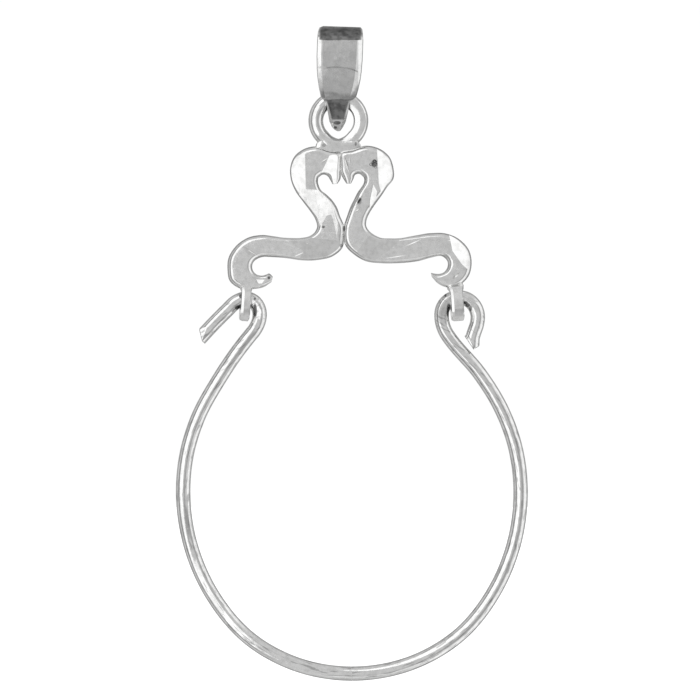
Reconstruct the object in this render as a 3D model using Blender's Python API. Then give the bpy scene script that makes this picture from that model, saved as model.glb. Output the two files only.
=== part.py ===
"""Charm holder: a bail, a scroll frame that hangs from it, and a sprung wire hoop that hangs from the frame.

X is to the right, the front faces -Y and Z is up. The origin is where the chain bears inside the top of
the bail. Each moving piece has its origin on its own hinge line, and the lengths are in metres.
"""

import math
from collections import namedtuple

import bmesh
import bpy
from mathutils import Matrix, Vector

MM = 0.001

# Bail: a tapered strap, bent into a loop and soldered at its lower tip
BAIL_HEIGHT = 7.05 * MM
BAIL_WIDTH = 3.10 * MM
BAIL_DEPTH = 3.90 * MM
BAIL_THICKNESS = 0.50 * MM
BAIL_EDGE_WIDTH = 0.34 * MM
BAIL_EDGE_DEPTH = 0.16 * MM
BAIL_EDGE_SHARE = 0.45
BAIL_LEAN = math.radians(1.9)

# Top ring: round wire, soldered into the valley between the two lobes
RING_WIRE = 1.00 * MM
RING_BORE = 2.04 * MM
RING_PLAY = 0.27 * MM
RING_SINK = 0.48 * MM
SADDLE_WIDTH = 2.90 * MM
SADDLE_DEPTH = 1.10 * MM
SADDLE_HEIGHT = 0.84 * MM

# Scroll frame: two flat scrolls that meet at the top and at the waist
SCROLL_THICKNESS = 1.40 * MM
SCROLL_CROWN = 0.08 * MM
RIM_WIDTH = 0.28 * MM
RIM_DEPTH = 0.20 * MM
BACK_RIM = 0.08 * MM
RIM_SHARE = 0.32
LEFT_LOBE_HALF_WIDTH = 3.37 * MM
RIGHT_LOBE_HALF_WIDTH = 3.57 * MM
LEFT_ARM_REACH = 7.60 * MM
RIGHT_ARM_REACH = 8.82 * MM
LOBE_HEIGHT = 5.65 * MM
CURL_DROP = 4.14 * MM

# Eyelets: small wire rings under the curls, which carry the hoop
EYELET_WIRE = 0.72 * MM
EYELET_PLAY = 0.20 * MM
EYELET_SAG = 0.10 * MM
EYELET_PLACE = {"left": 0.845, "right": 0.885}
EYELET_TURN = {"left": math.radians(5), "right": math.radians(8)}
CURL_GAP = 0.14 * MM

# Hoop: one sprung wire, hooked on the left and closed into an eye on the right
HOOP_WIRE = 1.00 * MM
HOOP_RADIUS = 11.44 * MM
HOOP_NECK = 13.73 * MM
HOOP_LEAN = math.radians(1.3)
HOOP_SHIFT = 0.09 * MM
ARC_SPACING = 1.1 * MM
BEND_SPACING = 0.36 * MM
CUT_END = 0.55

# How finely curved surfaces are divided, and the angle from which an edge stays sharp
WIRE_ROUNDING = 4
WIRE_STEPS = 12
RING_STEPS = 28
SHARP_EDGE = math.radians(32)

SILVER = (0.76, 0.76, 0.77, 1.0)

# One row down the bail's side: the fall from the top as a share of its height, the distance from its
# middle as a share of half its depth, and the half width as a share of half its width
Strap = namedtuple("Strap", "fall reach half_width")
BAIL_STRAP = [
    Strap(0.300, 1.000, 1.00),
    Strap(0.400, 0.965, 0.98),
    Strap(0.500, 0.925, 0.94),
    Strap(0.600, 0.855, 0.86),
    Strap(0.690, 0.755, 0.76),
    Strap(0.712, 0.722, 0.70),
    Strap(0.735, 0.665, 0.47),
    Strap(0.860, 0.345, 0.42),
    Strap(0.925, 0.180, 0.36),
    Strap(0.975, 0.055, 0.24),
]
BAIL_TIP_HALF_WIDTH = 0.16
BAIL_CROWN_WIDTH = 0.88
BAIL_TONGUE_ROW = 6
BAIL_BEND_STEPS = 8

# One row across a scroll, from its outer edge to its inner edge. On a lobe, x is a share of the lobe's
# half width and fall a share of its height from the top. On an arm, x is a share of the arm's reach and
# fall a share of the curl's drop from the waist.
Section = namedtuple("Section", "outer_x outer_fall inner_x inner_fall")
LOBE = {
    "left": [
        Section(0.060, 0.476, 0.160, 0.482),
        Section(0.000, 0.417, 0.220, 0.417),
        Section(-0.050, 0.333, 0.250, 0.392),
        Section(-0.050, 0.190, 0.290, 0.375),
        Section(-0.050, 0.083, 0.320, 0.369),
        Section(0.210, 0.024, 0.350, 0.369),
        Section(0.490, 0.018, 0.380, 0.375),
        Section(0.750, 0.071, 0.412, 0.390),
        Section(0.920, 0.155, 0.440, 0.405),
        Section(1.000, 0.274, 0.450, 0.440),
        Section(0.990, 0.429, 0.440, 0.488),
        Section(0.900, 0.565, 0.390, 0.554),
        Section(0.750, 0.690, 0.280, 0.607),
        Section(0.620, 0.792, 0.160, 0.679),
        Section(0.520, 0.881, 0.070, 0.762),
        Section(0.470, 0.964, 0.010, 0.863),
        Section(0.480, 1.018, -0.100, 1.000),
        Section(0.530, 1.065, -0.120, 1.119),
    ],
    "right": [
        Section(0.113, 0.476, 0.198, 0.476),
        Section(0.057, 0.423, 0.245, 0.417),
        Section(-0.019, 0.333, 0.264, 0.384),
        Section(-0.019, 0.190, 0.292, 0.366),
        Section(-0.019, 0.071, 0.321, 0.360),
        Section(0.217, 0.000, 0.349, 0.360),
        Section(0.481, 0.012, 0.377, 0.366),
        Section(0.745, 0.065, 0.409, 0.384),
        Section(0.925, 0.161, 0.440, 0.405),
        Section(0.996, 0.286, 0.447, 0.440),
        Section(1.000, 0.417, 0.430, 0.482),
        Section(0.887, 0.512, 0.387, 0.524),
        Section(0.774, 0.619, 0.321, 0.583),
        Section(0.651, 0.726, 0.255, 0.667),
        Section(0.547, 0.827, 0.189, 0.750),
        Section(0.487, 0.923, 0.123, 0.863),
        Section(0.496, 1.000, 0.047, 1.000),
        Section(0.585, 1.065, 0.028, 1.119),
    ],
}
ARM = {
    "left": [
        Section(0.274, 0.138, -0.022, 0.309),
        Section(0.341, 0.166, 0.066, 0.463),
        Section(0.420, 0.170, 0.208, 0.528),
        Section(0.509, 0.163, 0.341, 0.532),
        Section(0.597, 0.140, 0.482, 0.496),
        Section(0.704, 0.122, 0.606, 0.480),
        Section(0.819, 0.165, 0.695, 0.480),
        Section(0.925, 0.300, 0.761, 0.540),
        Section(0.993, 0.504, 0.783, 0.630),
        Section(1.000, 0.683, 0.772, 0.708),
        Section(0.982, 0.862, 0.739, 0.764),
        Section(0.905, 0.980, 0.699, 0.780),
        Section(0.783, 1.000, 0.659, 0.764),
        Section(0.680, 0.967, 0.628, 0.748),
        Section(0.612, 0.885, 0.599, 0.797),
    ],
    "right": [
        Section(0.298, 0.160, 0.040, 0.300),
        Section(0.378, 0.175, 0.106, 0.442),
        Section(0.454, 0.172, 0.192, 0.545),
        Section(0.523, 0.147, 0.320, 0.580),
        Section(0.592, 0.120, 0.454, 0.577),
        Section(0.691, 0.090, 0.592, 0.545),
        Section(0.805, 0.098, 0.688, 0.490),
        Section(0.908, 0.195, 0.770, 0.463),
        Section(0.981, 0.372, 0.815, 0.545),
        Section(1.000, 0.602, 0.815, 0.650),
        Section(0.975, 0.797, 0.789, 0.724),
        Section(0.908, 0.935, 0.757, 0.750),
        Section(0.821, 0.975, 0.733, 0.752),
        Section(0.742, 0.905, 0.710, 0.745),
        Section(0.697, 0.800, 0.690, 0.735),
    ],
}
SIDE_SIGN = {"left": -1, "right": 1}
LOBE_HALF_WIDTH = {"left": LEFT_LOBE_HALF_WIDTH, "right": RIGHT_LOBE_HALF_WIDTH}
ARM_REACH = {"left": LEFT_ARM_REACH, "right": RIGHT_ARM_REACH}
SECTION_SPACING = 0.62 * MM

# The hoop's arc: the angle from its lowest point in degrees and the radius as a share of HOOP_RADIUS
Arc = namedtuple("Arc", "angle radius")
HOOP_ARC = [
    Arc(0, 1.006),
    Arc(20, 1.006),
    Arc(38, 1.002),
    Arc(58, 0.985),
    Arc(78, 0.983),
    Arc(94, 0.995),
    Arc(107, 1.013),
    Arc(120, 1.035),
    Arc(134, 1.067),
]

# The bends at the hoop's ends, in wire diameters from the point where the wire crosses its eyelet
Bend = namedtuple("Bend", "right up")
HOOK_BENDS = [
    Bend(-3.10, -2.74),
    Bend(-2.86, -2.48),
    Bend(-2.10, -1.67),
    Bend(-1.30, -0.87),
    Bend(-0.56, -0.20),
    Bend(0.13, 0.00),
    Bend(0.69, -0.28),
    Bend(0.97, -0.83),
    Bend(0.96, -1.43),
    Bend(0.69, -2.07),
    Bend(0.29, -2.58),
    Bend(-0.07, -3.03),
]
EYE_BENDS = [
    Bend(-0.37, -2.83),
    Bend(-0.71, -2.33),
    Bend(-0.93, -1.80),
    Bend(-1.02, -1.27),
    Bend(-0.97, -0.73),
    Bend(-0.70, -0.27),
    Bend(-0.23, 0.03),
    Bend(0.33, 0.07),
    Bend(0.87, -0.13),
    Bend(1.27, -0.57),
    Bend(1.45, -1.13),
    Bend(1.40, -1.73),
    Bend(1.20, -2.33),
    Bend(1.04, -2.95),
    Bend(1.04, -3.27),
]


def bail_profile():
    """The bail's outer line down one side, as Strap rows from the top to just above the tip."""
    radius = BAIL_DEPTH / 2
    rows = []
    for step in range(BAIL_BEND_STEPS):
        angle = math.pi / 2 * step / BAIL_BEND_STEPS
        fall = radius * (1 - math.cos(angle)) / BAIL_HEIGHT
        half_width = BAIL_CROWN_WIDTH + (1 - BAIL_CROWN_WIDTH) * math.sin(angle)
        rows.append(Strap(fall, math.sin(angle), half_width))
    return rows + BAIL_STRAP


def tip_half_angle():
    """The angle between the bail's upright and its straps where they meet in the tip."""
    crease = BAIL_STRAP[BAIL_TONGUE_ROW]
    return math.atan2(crease.reach * BAIL_DEPTH / 2, (1 - crease.fall) * BAIL_HEIGHT)


# Heights that follow from the sizes
BAIL_TIP_Z = BAIL_THICKNESS - BAIL_HEIGHT
BAIL_SEAT_Z = BAIL_TIP_Z + BAIL_THICKNESS / math.sin(tip_half_angle())
RING_HINGE_Z = BAIL_SEAT_Z + (RING_WIRE / 2 + RING_PLAY) / math.sin(tip_half_angle())
RING_RADIUS = (RING_BORE + RING_WIRE) / 2
RING_X = RING_HINGE_Z * math.tan(BAIL_LEAN)
RING_Z = RING_HINGE_Z - RING_RADIUS
LOBE_TOP_Z = RING_Z - RING_RADIUS - RING_WIRE / 2 + RING_SINK
WAIST_Z = LOBE_TOP_Z - LOBE_HEIGHT
HOOP_HINGE_Z = WAIST_Z - CURL_DROP - CURL_GAP - HOOP_WIRE / 2
EYELET_X = {side: SIDE_SIGN[side] * EYELET_PLACE[side] * ARM_REACH[side] for side in SIDE_SIGN}


def clear_scene():
    """Removes every object, so that the scene holds only the charm holder."""
    for obj in list(bpy.data.objects):
        bpy.data.objects.remove(obj, do_unlink=True)


def make_collection(name):
    """Adds a collection to the scene."""
    collection = bpy.data.collections.new(name)
    bpy.context.scene.collection.children.link(collection)
    return collection


def polished(name, roughness):
    """A polished silver-coloured metal."""
    material = bpy.data.materials.new(name)
    material.use_nodes = True
    shader = material.node_tree.nodes["Principled BSDF"]
    shader.inputs["Base Color"].default_value = SILVER
    shader.inputs["Metallic"].default_value = 1.0
    shader.inputs["Roughness"].default_value = roughness
    return material


def smooth(rows, spacing):
    """Rows of numbers along a smooth curve through the given rows, about spacing apart."""
    points = [Vector(row) for row in rows]
    chords = [(b - a).length for a, b in zip(points, points[1:])]
    slopes = [(points[1] - points[0]) / chords[0]]
    for i in range(1, len(points) - 1):
        before = (points[i] - points[i - 1]) / chords[i - 1]
        after = (points[i + 1] - points[i]) / chords[i]
        slopes.append((before * chords[i] + after * chords[i - 1]) / (chords[i - 1] + chords[i]))
    slopes.append((points[-1] - points[-2]) / chords[-1])
    curve = []
    for i, chord in enumerate(chords):
        count = max(1, round(chord / spacing))
        for step in range(count):
            t = step / count
            from_start = (2 * t**3 - 3 * t**2 + 1) * points[i] + (t**3 - 2 * t**2 + t) * chord * slopes[i]
            to_end = (3 * t**2 - 2 * t**3) * points[i + 1] + (t**3 - t**2) * chord * slopes[i + 1]
            curve.append(from_start + to_end)
    curve.append(points[-1])
    return curve


def loft(name, rings, closed):
    """A mesh object through rings of points, all of one length. Unless closed, its two ends are capped."""
    mesh = bpy.data.meshes.new(name)
    body = bmesh.new()
    loops = [[body.verts.new(point) for point in ring] for ring in rings]
    pairs = list(zip(loops, loops[1:]))
    if closed:
        pairs.append((loops[-1], loops[0]))
    else:
        body.faces.new(reversed(loops[0]))
        body.faces.new(loops[-1])
    for low, high in pairs:
        for i in range(len(low)):
            j = (i + 1) % len(low)
            body.faces.new((low[i], low[j], high[j], high[i]))
    bmesh.ops.recalc_face_normals(body, faces=body.faces)
    body.to_mesh(mesh)
    body.free()
    return bpy.data.objects.new(name, mesh)


def wire(name, points, diameter):
    """A round wire along the points, with its two cut ends chamfered, as a closed mesh object."""
    curve = bpy.data.curves.new(name, "CURVE")
    curve.dimensions = "3D"
    curve.bevel_depth = diameter / 2
    curve.bevel_resolution = WIRE_ROUNDING
    curve.use_fill_caps = True
    spline = curve.splines.new("POLY")
    spline.points.add(len(points) - 1)
    for point, place in zip(spline.points, points):
        point.co = (*place, 1.0)
    for end in (0, -1):
        spline.points[end].radius = CUT_END
    guide = bpy.data.objects.new(name + "_guide", curve)
    bpy.context.scene.collection.objects.link(guide)
    bpy.context.view_layer.update()
    mesh = bpy.data.meshes.new_from_object(guide.evaluated_get(bpy.context.evaluated_depsgraph_get()))
    bpy.data.objects.remove(guide)
    body = bmesh.new()
    body.from_mesh(mesh)
    bmesh.ops.remove_doubles(body, verts=body.verts, dist=0.001 * MM)
    body.to_mesh(mesh)
    body.free()
    return bpy.data.objects.new(name, mesh)


def torus(name, mean_radius, wire_diameter, turn, place):
    """A wire ring whose axis is Z before it is turned and moved to its place."""
    bpy.ops.mesh.primitive_torus_add(
        major_radius=mean_radius,
        minor_radius=wire_diameter / 2,
        major_segments=RING_STEPS,
        minor_segments=WIRE_STEPS,
    )
    ring = bpy.context.object
    ring.name = name
    ring.data.transform(Matrix.Translation(place) @ turn)
    for collection in list(ring.users_collection):
        collection.objects.unlink(ring)
    return ring


def finish(obj, collection, material, hinge, parent):
    """Dresses a piece, moves its origin to its hinge and hangs it from its parent."""
    collection.objects.link(obj)
    obj.data.materials.clear()
    obj.data.materials.append(material)
    obj.data.shade_smooth()
    obj.data.set_sharp_from_angle(angle=SHARP_EDGE)
    obj.data.transform(Matrix.Translation(-hinge))
    obj.location = hinge
    if parent:
        obj.parent = parent
        obj.matrix_parent_inverse = Matrix.Translation(-parent.location)


def strap_ring(outer, inner, half_width):
    """The strap's section at one place, with its outer edges bevelled."""
    inward = (inner - outer).normalized()
    shoulder = outer + inward * BAIL_EDGE_DEPTH
    flat = half_width - min(BAIL_EDGE_WIDTH, half_width * BAIL_EDGE_SHARE)
    side = Vector((1, 0, 0))
    return [
        inner - side * half_width,
        inner + side * half_width,
        shoulder + side * half_width,
        outer + side * flat,
        outer - side * flat,
        shoulder - side * half_width,
    ]


def make_bail():
    """The bail: sections of the strap round its teardrop, mitred at the tip."""
    down = bail_profile()
    tip = Strap(1.0, 0.0, BAIL_TIP_HALF_WIDTH)
    front = [(-row.reach, row.fall, row.half_width) for row in down[1:]]
    back = [(row.reach, row.fall, row.half_width) for row in reversed(down[1:])]
    turns = [(0.0, 0.0, down[0].half_width)] + front + [(0.0, tip.fall, tip.half_width)] + back
    line = []
    for reach, fall, _ in turns:
        line.append(Vector((0, reach * BAIL_DEPTH / 2, BAIL_THICKNESS - fall * BAIL_HEIGHT)))
    rings = []
    for i, outer in enumerate(line):
        before = (outer - line[i - 1]).normalized()
        after = (line[(i + 1) % len(line)] - outer).normalized()
        square = [Vector((0, -step.z, step.y)) for step in (before, after)]
        mitre = (square[0] + square[1]) / (1 + square[0].dot(square[1]))
        inner = outer + mitre * BAIL_THICKNESS
        rings.append(strap_ring(outer, inner, turns[i][2] * BAIL_WIDTH / 2))
    bail = loft("bail", rings, closed=True)
    bail.data.transform(Matrix.Rotation(BAIL_LEAN, 4, "Y"))
    return bail


def scroll_ring(outer, inner):
    """A scroll's section between two edge points: flat back, upright sides, bevelled front, low crown."""
    across = inner - outer
    width = across.length
    across.normalize()
    rim = min(RIM_WIDTH, width * RIM_SHARE)
    back_rim = min(BACK_RIM, width * RIM_SHARE)
    back = SCROLL_THICKNESS / 2
    shoulder = SCROLL_CROWN - back
    section = [
        (0.0, back - back_rim),
        (back_rim, back),
        (width - back_rim, back),
        (width, back - back_rim),
        (width, shoulder + RIM_DEPTH),
        (width - rim, shoulder),
        (width / 2, -back),
        (rim, shoulder),
        (0.0, shoulder + RIM_DEPTH),
    ]
    return [outer + across * along + Vector((0, depth, 0)) for along, depth in section]


def make_scroll(side):
    """One scroll, from the point beside the heart over its lobe, out along its arm and round its curl."""
    sign = SIDE_SIGN[side]
    edges = []
    for rows, span, top, height in (
        (LOBE[side], LOBE_HALF_WIDTH[side], LOBE_TOP_Z, LOBE_HEIGHT),
        (ARM[side], ARM_REACH[side], WAIST_Z, CURL_DROP),
    ):
        for row in rows:
            outer = (sign * row.outer_x * span, top - row.outer_fall * height)
            inner = (sign * row.inner_x * span, top - row.inner_fall * height)
            edges.append((*outer, *inner))
    rings = []
    for outer_x, outer_z, inner_x, inner_z in smooth(edges, SECTION_SPACING):
        rings.append(scroll_ring(Vector((outer_x, 0, outer_z)), Vector((inner_x, 0, inner_z))))
    return loft("scroll_" + side, rings, closed=False)


def make_saddle():
    """The solder that fills the valley where the ring sits on the lobes."""
    bpy.ops.mesh.primitive_uv_sphere_add(segments=RING_STEPS, ring_count=WIRE_STEPS, radius=0.5)
    saddle = bpy.context.object
    saddle.name = "saddle"
    size = Matrix.Diagonal((SADDLE_WIDTH, SADDLE_DEPTH, SADDLE_HEIGHT, 1))
    saddle.data.transform(Matrix.Translation((RING_X, 0, LOBE_TOP_Z)) @ size)
    for collection in list(saddle.users_collection):
        collection.objects.unlink(saddle)
    return saddle


def make_eyelet(side):
    """The ring under one curl, turned across the frame so that the hoop passes through it."""
    radius = HOOP_WIRE / 2 + EYELET_PLAY + EYELET_WIRE / 2
    turn = Matrix.Rotation(EYELET_TURN[side], 4, "Z") @ Matrix.Rotation(math.pi / 2, 4, "Y")
    place = Vector((EYELET_X[side], 0, HOOP_HINGE_Z - EYELET_SAG))
    return torus("eyelet_" + side, radius, EYELET_WIRE, turn, place)


def make_frame(tools):
    """The frame: both scrolls, the top ring and the eyelets, soldered into one body."""
    frame = make_scroll("left")
    frame.name = "frame"
    upright = Matrix.Rotation(math.pi / 2, 4, "X")
    ring = torus("ring", RING_RADIUS, RING_WIRE, upright, Vector((RING_X, 0, RING_Z)))
    pieces = [make_scroll("right"), make_saddle(), ring, make_eyelet("left"), make_eyelet("right")]
    for piece in pieces:
        tools.objects.link(piece)
        piece.hide_render = True
        piece.display_type = "WIRE"
        joint = frame.modifiers.new(piece.name, "BOOLEAN")
        joint.operation = "UNION"
        joint.solver = "EXACT"
        joint.object = piece
    return frame


def hoop_route():
    """The middle line of the hoop's wire, from the hook's tail round the arc to the end of the eye."""
    middle_x = (EYELET_X["left"] + EYELET_X["right"]) / 2 + HOOP_SHIFT
    middle = Vector((middle_x, 0, HOOP_HINGE_Z - HOOP_NECK))
    arc = []
    for sign, rows in ((-1, reversed(HOOP_ARC)), (1, HOOP_ARC[1:])):
        for row in rows:
            angle = math.radians(sign * row.angle) + HOOP_LEAN
            radius = row.radius * HOOP_RADIUS
            arc.append(middle + Vector((radius * math.sin(angle), 0, -radius * math.cos(angle))))
    ends = {}
    for side, bends in (("left", HOOK_BENDS), ("right", EYE_BENDS)):
        start = Vector((EYELET_X[side], 0, HOOP_HINGE_Z))
        ends[side] = [start + Vector((bend.right, 0, bend.up)) * HOOP_WIRE for bend in bends]
    hook = smooth(ends["left"], BEND_SPACING)
    eye = smooth(ends["right"], BEND_SPACING)
    return hook[:-2] + smooth([hook[-2], hook[-1], *arc, eye[0], eye[1]], ARC_SPACING) + eye[2:]


def main():
    clear_scene()
    pieces = make_collection("charm_holder")
    tools = make_collection("charm_holder_tools")
    tools.hide_render = True
    ring_hinge = Vector((RING_X, 0, RING_HINGE_Z))
    hoop_hinge = Vector((0, 0, HOOP_HINGE_Z))
    bail = make_bail()
    finish(bail, pieces, polished("bail_polish", 0.16), Vector((0, 0, 0)), None)
    frame = make_frame(tools)
    finish(frame, pieces, polished("frame_polish", 0.12), ring_hinge, bail)
    hoop = wire("hoop", hoop_route(), HOOP_WIRE)
    finish(hoop, pieces, polished("hoop_polish", 0.14), hoop_hinge, frame)


main()
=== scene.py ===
"""Looks of the charm holder: a silver bail, a diamond-cut scroll frame and a sprung wire hoop.

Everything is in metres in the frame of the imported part: X to the right, the front faces -Y, Z up, and the
origin where the chain bears inside the top of the bail. Sizes in the tables are in millimetres or are shares
of named sizes, as each class says.
"""

import logging
import math
from contextlib import contextmanager
from dataclasses import dataclass, field
from enum import Enum
from typing import Any, Callable, Iterator, NamedTuple, Sequence

import bmesh
import bpy
from mathutils import Matrix, Vector

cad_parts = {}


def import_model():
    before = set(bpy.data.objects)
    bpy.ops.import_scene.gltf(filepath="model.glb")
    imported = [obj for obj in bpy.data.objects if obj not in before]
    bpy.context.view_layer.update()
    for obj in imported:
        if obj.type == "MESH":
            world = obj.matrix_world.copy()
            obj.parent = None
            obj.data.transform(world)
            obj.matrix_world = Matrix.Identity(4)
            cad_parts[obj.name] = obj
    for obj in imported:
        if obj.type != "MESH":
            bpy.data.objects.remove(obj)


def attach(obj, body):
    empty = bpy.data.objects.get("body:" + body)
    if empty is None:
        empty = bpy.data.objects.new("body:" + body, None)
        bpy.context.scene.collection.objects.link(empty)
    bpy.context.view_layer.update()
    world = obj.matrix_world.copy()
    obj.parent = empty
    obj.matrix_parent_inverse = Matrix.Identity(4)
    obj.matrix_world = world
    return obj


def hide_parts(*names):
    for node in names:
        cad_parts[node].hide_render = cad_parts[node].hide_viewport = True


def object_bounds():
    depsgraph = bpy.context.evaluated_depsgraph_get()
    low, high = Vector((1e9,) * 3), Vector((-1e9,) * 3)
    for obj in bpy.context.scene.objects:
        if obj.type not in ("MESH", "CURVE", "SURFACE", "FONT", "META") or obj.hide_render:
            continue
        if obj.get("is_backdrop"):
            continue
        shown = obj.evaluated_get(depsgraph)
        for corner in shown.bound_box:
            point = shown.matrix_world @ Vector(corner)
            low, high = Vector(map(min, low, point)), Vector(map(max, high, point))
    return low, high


LOG = logging.getLogger("charm_holder")
MM = 0.001

# The photograph: its side in pixels, the metal that one pixel covers, and where the origin lies in it
PHOTO_SIDE = 700
PIXEL = 0.0673 * MM
ORIGIN_PIXEL = (340.5, 33.93)

# How finely the pieces are divided
STATION_SPACING = 0.14 * MM
WIRE_SPACING = 0.16 * MM
MERGE_DISTANCE = 0.002 * MM

Colour = tuple[float, float, float, float]
Rings = list[list[Vector]]


class Join(Enum):
    """Ways in which one piece of metal works on another."""

    FUSE = "UNION"
    CUT = "DIFFERENCE"


class Side(Enum):
    """The two halves of the frame, with the sign of X on each."""

    LEFT = -1
    RIGHT = 1


class Bench:
    """Blender's modelling tools, held the way a silversmith holds a workpiece."""

    @staticmethod
    def clear() -> None:
        """Deselects everything."""
        bpy.ops.object.select_all(action="DESELECT")

    @staticmethod
    def take(piece: bpy.types.Object) -> None:
        """Makes one piece the only selected and the active one.

        Args:
            piece: The piece.
        """
        Bench.clear()
        piece.select_set(True)
        bpy.context.view_layer.objects.active = piece

    @staticmethod
    @contextmanager
    def editing(piece: bpy.types.Object) -> Iterator[bmesh.types.BMesh]:
        """Opens a piece in edit mode with nothing selected.

        Args:
            piece: The mesh object to work on.

        Returns:
            The edit mesh, inside the with block.
        """
        Bench.take(piece)
        bpy.ops.object.mode_set(mode="EDIT")
        bpy.ops.mesh.select_all(action="DESELECT")
        yield bmesh.from_edit_mesh(piece.data)
        bpy.ops.object.mode_set(mode="OBJECT")

    @staticmethod
    def name(piece: bpy.types.Object, name: str) -> bpy.types.Object:
        """Names a piece and its mesh alike.

        Args:
            piece: The piece.
            name: The name for both.

        Returns:
            The piece.
        """
        piece.name = name
        piece.data.name = name
        return piece

    @staticmethod
    def settle(piece: bpy.types.Object) -> bpy.types.Object:
        """Puts a piece's place into its mesh, so that its object sits at the origin.

        Args:
            piece: The piece.

        Returns:
            The piece.
        """
        Bench.take(piece)
        bpy.ops.object.transform_apply(location=True, rotation=True, scale=True)
        return piece

    @staticmethod
    def tidy(piece: bpy.types.Object) -> bpy.types.Object:
        """Merges a piece's doubled points and turns its faces outwards.

        Args:
            piece: The piece.

        Returns:
            The piece.
        """
        Bench.take(piece)
        bpy.ops.object.mode_set(mode="EDIT")
        bpy.ops.mesh.select_all(action="SELECT")
        bpy.ops.mesh.remove_doubles(threshold=MERGE_DISTANCE)
        bpy.ops.mesh.normals_make_consistent(inside=False)
        bpy.ops.object.mode_set(mode="OBJECT")
        return piece

    @staticmethod
    def work(piece: bpy.types.Object, tool: bpy.types.Object, how: Join) -> bpy.types.Object:
        """Fuses a tool piece to a piece or cuts it out of it, and uses the tool up.

        Args:
            piece: The piece that stays.
            tool: The closed mesh that is fused or cut away.
            how: Whether it is fused or cut.

        Returns:
            The worked piece.
        """
        Bench.take(piece)
        modifier = piece.modifiers.new(tool.name, "BOOLEAN")
        modifier.operation = how.value
        modifier.solver = "MANIFOLD"
        modifier.object = tool
        bpy.ops.object.modifier_apply(modifier=modifier.name)
        bpy.data.objects.remove(tool, do_unlink=True)
        return piece

    @staticmethod
    def shade(piece: bpy.types.Object, angle: float) -> None:
        """Shades a piece smooth, but keeps sharp edges and the edges between two finishes crisp.

        Args:
            piece: The piece.
            angle: The angle in degrees from which an edge is sharp.
        """
        Bench.take(piece)
        bpy.ops.object.shade_smooth_by_angle(angle=math.radians(angle))
        with Bench.editing(piece) as mesh:
            for edge in mesh.edges:
                finishes = {face.material_index for face in edge.link_faces}
                if len(finishes) > 1:
                    edge.smooth = False
            bmesh.update_edit_mesh(piece.data)

    @staticmethod
    def extrude_through(name: str, rings: Sequence[Sequence[Vector]], closed: bool) -> bpy.types.Object:
        """Extrudes a section from ring to ring.

        Args:
            name: The new piece's name.
            rings: The section's corners at each station, all of one length and in one order.
            closed: Whether the last ring joins the first again.

        Returns:
            The new piece, closed either way.
        """
        Bench.clear()
        bpy.ops.mesh.primitive_circle_add(vertices=len(rings[0]), radius=MM, fill_type="NGON")
        piece = Bench.name(bpy.context.object, name)
        stations = [*rings, rings[0]] if closed else rings
        bpy.ops.object.mode_set(mode="EDIT")
        for number, ring in enumerate(stations):
            if number:
                bpy.ops.mesh.extrude_region_move()
            mesh = bmesh.from_edit_mesh(piece.data)
            face = next(face for face in reversed(mesh.faces[:]) if face.select)
            for corner, place in zip(face.verts, ring):
                corner.co = place
            bmesh.update_edit_mesh(piece.data)
        if closed:
            mesh = bmesh.from_edit_mesh(piece.data)
            for face in mesh.faces:
                face.select = len(face.verts) == len(rings[0])
            bpy.ops.mesh.delete(type="ONLY_FACE")
        bpy.ops.object.mode_set(mode="OBJECT")
        return Bench.tidy(piece)


def rows_of(kind: Callable[..., Any], *rows: Sequence[Any]) -> tuple[Any, ...]:
    """Makes one record of a kind from each row of a table."""
    return tuple(kind(*row) for row in rows)


def both(left: float, right: float) -> Any:
    """A dataclass field that holds one size for each side."""
    return field(default_factory=lambda: {Side.LEFT: left, Side.RIGHT: right})


def smooth_rows(rows: Sequence[Sequence[float]], spacing: float) -> list[Vector]:
    """Finds rows of numbers along a smooth curve through the given rows.

    Args:
        rows: The rows to pass through, in order.
        spacing: About how far apart the new rows lie.

    Returns:
        The new rows, the given ones among them.
    """
    points = [Vector(row) for row in rows]
    chords = [(after - before).length for before, after in zip(points, points[1:])]
    slopes = [(points[1] - points[0]) / chords[0]]
    for i in range(1, len(points) - 1):
        before = (points[i] - points[i - 1]) / chords[i - 1]
        after = (points[i + 1] - points[i]) / chords[i]
        slopes.append((before * chords[i] + after * chords[i - 1]) / (chords[i - 1] + chords[i]))
    slopes.append((points[-1] - points[-2]) / chords[-1])
    curve = []
    for i, chord in enumerate(chords):
        count = max(1, round(chord / spacing))
        for step in range(count):
            t = step / count
            start = (2 * t**3 - 3 * t**2 + 1) * points[i] + (t**3 - 2 * t**2 + t) * chord * slopes[i]
            end = (3 * t**2 - 2 * t**3) * points[i + 1] + (t**3 - t**2) * chord * slopes[i + 1]
            curve.append(start + end)
    curve.append(points[-1])
    return curve


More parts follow.
